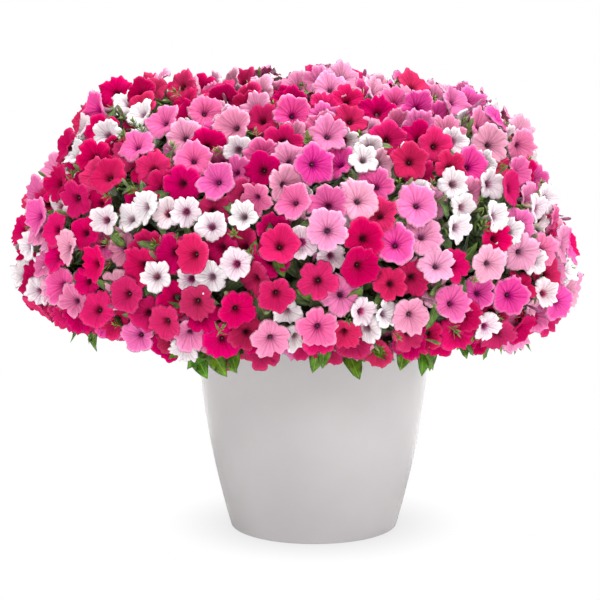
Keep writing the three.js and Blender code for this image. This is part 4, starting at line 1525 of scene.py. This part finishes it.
def makeTufts():
    draw = seededDraw(tufts["seed"])
    places = []
    azimuths, shares = spiralPlaces(tufts["choice"] * tufts["count"], tufts["turn"])
    latitudes = latitudeAt(shares)
    for i in roomiest(azimuths, latitudes, tufts["room"], tufts["count"]):
        lean = drawLean(draw, tufts["lowestLean"])
        direction = unit(outwardAt(azimuths[i], latitudes[i])[0] + tufts["lean"] * lean)
        point = moundPoint(azimuths[i], latitudes[i], drawIn(draw, *tufts["depth"]))[0]
        turn = alignTurn(direction, 2 * math.pi * draw())
        places.append({"at": point, "turn": turn, "size": drawIn(draw, *tufts["sizes"]),
                       "form": int(draw() * len(tufts["seeds"])),
                       "tint": drawEach(draw, tufts["tint"])})
    shapes = [tuftShape(f"tuft{i}", seed) for i, seed in enumerate(tufts["seeds"])]
    finish = greenFinish("youngLeaf", "#55782E", "#8BA656")
    standFor(scatter("shootTips", places, shapes, finish))


makeTufts()


# Slim buds, some green, some already coloured, standing proud between the blooms
buds = {
    "seed": 808,
    "count": 84,
    "choice": 5,
    "turn": 3.3,
    "room": 0,
    "lean": 0.35,
    "lowestLean": -0.7,
    "rise": (-4, 14),
    "sizes": (0.8, 1.15),
    "greenShare": 0.55,
    "greenTint": ((0.8, 1.1), (0.8, 1.2)),
    "colouredTint": ((0.485, 0.515), (0.7, 1.2), (0.75, 1.15)),
    "length": 26.0,
    "radius": 2.5,
    "sides": 9,
    # radius and height of the stalk, then the body as shares of the radius and of the length
    "stalk": ((0, -32.0), (1.0, -26.0), (1.5, -20.8)),
    "body": ((0.75, 0.55), (1.0, 0.3), (0.85, 0.13), (0.45, 0.03), (0, 0)),
}


def placeBuds():
    draw = seededDraw(buds["seed"])
    green, coloured = [], []
    azimuths, shares = spiralPlaces(buds["count"] * buds["choice"], buds["turn"])
    latitudes = latitudeAt(shares)
    for i in roomiest(azimuths, latitudes, buds["room"], buds["count"]):
        lean = drawLean(draw, buds["lowestLean"])
        direction = unit(outwardAt(azimuths[i], latitudes[i])[0] + buds["lean"] * lean)
        tip = moundPoint(azimuths[i], latitudes[i], -drawIn(draw, *buds["rise"]))[0]
        place = {"at": tip, "turn": alignTurn(direction, 0.0),
                 "size": drawIn(draw, *buds["sizes"]), "form": 0}
        if draw() < buds["greenShare"]:
            green.append(dict(place, tint=(0.5, *drawEach(draw, buds["greenTint"]))))
        else:
            coloured.append(dict(place, tint=drawEach(draw, buds["colouredTint"])))
    return green, coloured


def makeBuds():
    green, coloured = placeBuds()
    length, radius = buds["length"], buds["radius"]
    profile = list(buds["stalk"])
    profile += [(girth * radius, -down * length) for girth, down in buds["body"]]
    for name, places, low, high, slotName in (
            ("greenBud", green, "#5F7038", "#858F5C", "leaf_green"),
            ("colouredBud", coloured, "#7E3A5C", "#A66A86", "pink_petals")):
        shape = [spindle(name, profile, buds["sides"])]
        standFor(scatter(name + "s", places, shape, greenFinish(name, low, high)))


makeBuds()
for mesh in [m for m in bpy.data.meshes if m.users == 0]:
    bpy.data.meshes.remove(mesh)


# Stage: white floor, white surround, soft light
stage = {
    "floor": 80.0,
    "ambient": 0.24,
    "floorLight": 0.9,
    "shadowReach": 0.08,
    "shadowTone": 0.7,
}


def makeFloor():
    half = stage["floor"] / 2
    corners = [(-half, -half, 0), (half, -half, 0), (half, half, 0), (-half, half, 0)]
    floor = link(meshObject("floor", corners, [[0, 1, 2, 3]]))
    finish, tree, shader = newFinish("studioWhite", {
        "Roughness": 0.8, "Specular IOR Level": 0.0, "Emission Color": (1, 1, 1, 1)})
    # seen directly, the floor is as white as the surround, darker only close round the pot's foot:
    # a painted contact shadow from ambient occlusion
    seen = addNode(tree, "ShaderNodeLightPath").outputs["Is Camera Ray"]
    pale = (stage["floorLight"],) * 3 + (1,)
    lit = addNode(tree, "ShaderNodeMix", {0: seen, 6: pale, 7: (0, 0, 0, 1)}, data_type="RGBA")
    tree.links.new(lit.outputs[2], shader.inputs["Base Color"])
    shelter = addNode(tree, "ShaderNodeAmbientOcclusion", {"Distance": stage["shadowReach"]})
    tone = addNode(tree, "ShaderNodeMapRange", {
        "Value": shelter.outputs["AO"], "To Min": stage["shadowTone"], "To Max": 1.0})
    glow = addNode(tree, "ShaderNodeMath", {0: seen, 1: tone}, operation="MULTIPLY")
    tree.links.new(glow.outputs[0], shader.inputs["Emission Strength"])
    floor.data.materials.append(finish)


def makeSurround():
    world = bpy.data.worlds.new("studioSurround")
    bpy.context.scene.world = world
    world.use_nodes = True
    tree = world.node_tree
    tree.nodes.clear()
    path = addNode(tree, "ShaderNodeLightPath").outputs
    seen, lit = (
        addNode(tree, "ShaderNodeBackground", {"Color": (1, 1, 1, 1), "Strength": strength})
        for strength in (1.0, stage["ambient"]))
    white = addNode(tree, "ShaderNodeMath", {
        0: path["Is Camera Ray"], 1: path["Is Glossy Ray"]}, operation="MAXIMUM")
    mix = addNode(tree, "ShaderNodeMixShader", {0: white, 1: lit, 2: seen})
    addNode(tree, "ShaderNodeOutputWorld", {"Surface": mix})


# Area lights: place, size and power; each looks at the plant
lampTarget = (0, 0, 0.33)
lamps = {
    "keyFront": ((-0.7, -3.2, 2.3), (0.9, 0.9), 47),
    "lowFront": ((0.2, -3.4, 0.22), (1.6, 0.4), 25),
    "sideRight": ((3.0, -1.2, 1.3), (1.0, 1.6), 42),
    "sideLeft": ((-3.0, -0.9, 0.6), (1.0, 1.2), 25),
    "topSoft": ((0.3, 0.1, 2.7), (1.4, 1.4), 72),
    "rearSoft": ((0.8, 2.8, 1.6), (1.6, 1.6), 66),
}


def makeLamps():
    for name, (place, size, power) in lamps.items():
        data = bpy.data.lights.new(name, "AREA")
        data.shape = "RECTANGLE"
        data.size, data.size_y = size
        data.energy = power
        lamp = link(bpy.data.objects.new(name, data))
        lamp.location = place
        sight = Vector(lampTarget) - Vector(place)
        lamp.rotation_euler = sight.to_track_quat("-Z", "Y").to_euler()


# Camera: the photo's view, a long lens a little above the mound's middle
view = {
    "target": (-0.018, 0.0, 0.2948),
    "distance": 3.5,
    "elevation": 10.5,
    "lens": 163.3,
    "sensor": 36.0,
}


def makeCamera():
    data = bpy.data.cameras.new("camera")
    data.lens = view["lens"]
    data.sensor_width = view["sensor"]
    camera = link(bpy.data.objects.new("camera", data))
    e = math.radians(view["elevation"])
    back = Vector((0, -math.cos(e), math.sin(e)))
    camera.location = Vector(view["target"]) + back * view["distance"]
    camera.rotation_euler = (-back).to_track_quat("-Z", "Y").to_euler()
    bpy.context.scene.camera = camera


makeFloor()
makeSurround()
makeLamps()
makeCamera()
bpy.context.scene.view_settings.view_transform = "Standard"
print("stage, lamps and camera set")
